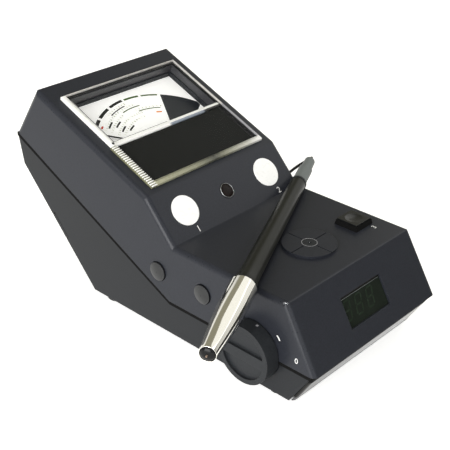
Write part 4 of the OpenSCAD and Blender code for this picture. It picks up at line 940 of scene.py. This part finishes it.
# Plain marks: numbers below the discs, on the left wall and at the square key,
# and a tick and a dot at the knob
DISC_MARK_H = 3.0
SMALL_MARK_H = 2.6
KEY_MARK_AT = (33.6, -46.6, 48.8)
for digit_mark, x, up in (("1", -26.0, 2.4), ("2", 30.0, 1.9)):
    place = on_face(MIDDLE_FACE, up) @ Matrix.Translation((x, 0, 0))
    piece(f"mark_disc_{digit_mark}", numerals(digit_mark, DISC_MARK_H, INK), place, ink_white, "case")
for digit_mark, y, z in (("1", 16.5, 40.0), ("0", -66.0, 24.5)):
    wall_mark = numerals(digit_mark, SMALL_MARK_H, INK)
    piece(f"mark_wall_{digit_mark}", wall_mark, on_left_wall(y, z), ink_white, "case")
key_mark = seat(Vector(KEY_MARK_AT) * MM, (0, 0, 1))
piece("mark_key", numerals("3", SMALL_MARK_H, INK), key_mark, ink_white, "case")
KNOB_AXIS = (-43.05, 20.0)
KNOB_TICK = (17.1, 0.7, 44.8, 53.5)
tick = arc(*KNOB_TICK, INK)
piece("mark_knob", tick, on_left_wall(*KNOB_AXIS), ink_white, "case")
KNOB_R = 14.0
KNOB_FOOT_X = -45.53
KNOB_DOT_TURN = Matrix.Rotation(math.radians(-12), 3, "Z")
knob_dot = moved(block((-0.5, 0.5), (-0.02, 0.05), (0.9, 1.9)), 0, KNOB_R)
bmesh.ops.rotate(knob_dot, cent=(0, 0, 0), matrix=KNOB_DOT_TURN, verts=knob_dot.verts)
knob_foot = seat(Vector((KNOB_FOOT_X, *KNOB_AXIS)) * MM, (-1, 0, 0), (0, -1, 0))
piece("mark_knob_dot", knob_dot, knob_foot, grey_edge, "knob")

# Lights: a large softbox at the left and a smaller one above it, a small bright spot overhead,
# a card and a fill in front, and a white card at the right
STUDIO_MIDDLE = Vector((0.0, 0.01, 0.05))


def softbox(name, direction, distance, width, height, level):
    """An area light that faces the object; level is its brightness where white paper is 1."""
    data = bpy.data.lights.new(name, "AREA")
    data.shape = "RECTANGLE"
    data.size = width
    data.size_y = height
    data.energy = level * math.pi * width * height
    lamp = bpy.data.objects.new(name, data)
    toward = Vector(direction).normalized()
    lamp.location = STUDIO_MIDDLE + distance * toward
    lamp.rotation_euler = toward.to_track_quat("Z", "Y").to_euler()
    scene.collection.objects.link(lamp)


softbox("left_softbox", (-0.92, -0.27, 0.28), 0.9, 0.7, 0.5, 6.8)
softbox("left_top_softbox", (-0.63, 0.11, 0.77), 0.9, 0.35, 0.35, 2.0)
softbox("overhead_spot", (-0.30, -0.22, 0.93), 0.9, 0.06, 0.06, 110.0)
softbox("front_card", (0.62, -0.52, 0.60), 0.9, 0.4, 0.3, 1.6)
softbox("front_fill", (-0.25, -0.85, 0.46), 0.9, 0.6, 0.6, 1.3)
softbox("right_card", (0.771, -0.039, 0.635), 0.74, 0.66, 0.46, 0.76)

# World: a white band round the horizon, grey in the far corner, and a grey-olive room above it,
# darker on the side of the camera
world = bpy.data.worlds.new("studio")
world.use_nodes = True
scene.world = world
sky = world.node_tree
direction = add_node(sky, "ShaderNodeTexCoord").outputs["Generated"]
axes = add_node(sky, "ShaderNodeSeparateXYZ", {"Vector": direction}).outputs
band = add_node(sky, "ShaderNodeValToRGB", {"Fac": axes["X"]})
band_stops = [(0.5, "#F2F1EB"), (0.6, "#8C8A80"), (0.82, "#8C8A80"), (0.92, "#F2F1EB")]
for _ in band_stops[2:]:
    band.color_ramp.elements.new(0.7)
for stop, (at, shade) in zip(band.color_ramp.elements, band_stops):
    stop.position = at
    stop.color = linear(shade)
upper = add_node(sky, "ShaderNodeMapRange", {"Value": axes["Z"], "From Min": 0.40, "From Max": 0.44})
room = add_node(
    sky, "ShaderNodeMixRGB",
    {"Fac": upper.outputs["Result"], "Color1": band.outputs["Color"], "Color2": linear("#928F7D")},
)
sky.links.new(room.outputs["Color"], sky.nodes["Background"].inputs["Color"])
strength = add_node(
    sky, "ShaderNodeMapRange",
    {"Value": axes["Y"], "From Min": -0.5, "From Max": -0.15, "To Min": 0.6, "To Max": 1.0},
)
sky.links.new(strength.outputs["Result"], sky.nodes["Background"].inputs["Strength"])

# Floor: white paper, with its own light on the rays that show it
FLOOR_HALF = 3.0
PAPER_LIGHT = 0.65
floor_bm = bmesh.new()
bmesh.ops.create_grid(floor_bm, x_segments=1, y_segments=1, size=FLOOR_HALF)
floor_mesh = bpy.data.meshes.new("floor")
floor_bm.to_mesh(floor_mesh)
floor_bm.free()
floor = bpy.data.objects.new("floor", floor_mesh)
scene.collection.objects.link(floor)
paper = bpy.data.materials.new("paper_white")
paper.use_nodes = True
tree = paper.node_tree
shader = tree.nodes["Principled BSDF"]
shader.inputs["Base Color"].default_value = linear("#EDEDEB")
shader.inputs["Roughness"].default_value = 0.9
rays = add_node(tree, "ShaderNodeLightPath")
seen = add_node(
    tree, "ShaderNodeMath", {0: rays.outputs["Is Camera Ray"], 1: rays.outputs["Is Glossy Ray"]},
    operation="ADD",
)
seen = add_node(
    tree, "ShaderNodeMath", {0: seen.outputs["Value"], 1: rays.outputs["Is Transmission Ray"]},
    operation="ADD", use_clamp=True,
)
lifted = add_node(tree, "ShaderNodeMath", {0: seen.outputs["Value"], 1: PAPER_LIGHT}, operation="MULTIPLY")
shader.inputs["Emission Color"].default_value = linear("#FFFFFF")
tree.links.new(lifted.outputs["Value"], shader.inputs["Emission Strength"])
floor_mesh.materials.append(paper)

# Black felt beside the view, which only reflections see: it darkens the far side of polished metal
flag_outline = [(-30, -150), (140, -45), (700, -45), (700, -450), (-30, -450)]
FELT = 0.5
flag_bm = prism(flag_outline, FELT)
flag_bm.transform(Matrix.Scale(MM, 4))
flag_mesh = bpy.data.meshes.new("flag")
flag_bm.to_mesh(flag_mesh)
flag_bm.free()
flag = bpy.data.objects.new("flag", flag_mesh)
scene.collection.objects.link(flag)
felt = bpy.data.materials.new("felt_black")
felt.use_nodes = True
felt_tree = felt.node_tree
felt_tree.nodes["Principled BSDF"].inputs["Base Color"].default_value = linear("#141414")
felt_tree.nodes["Principled BSDF"].inputs["Roughness"].default_value = 1.0
felt_seen = add_node(felt_tree, "ShaderNodeMixShader", {
    0: add_node(felt_tree, "ShaderNodeLightPath").outputs["Is Glossy Ray"],
    1: add_node(felt_tree, "ShaderNodeBsdfTransparent").outputs["BSDF"],
    2: felt_tree.nodes["Principled BSDF"].outputs["BSDF"],
})
felt_tree.links.new(felt_seen.outputs["Shader"], felt_tree.nodes["Material Output"].inputs["Surface"])
flag_mesh.materials.append(felt)
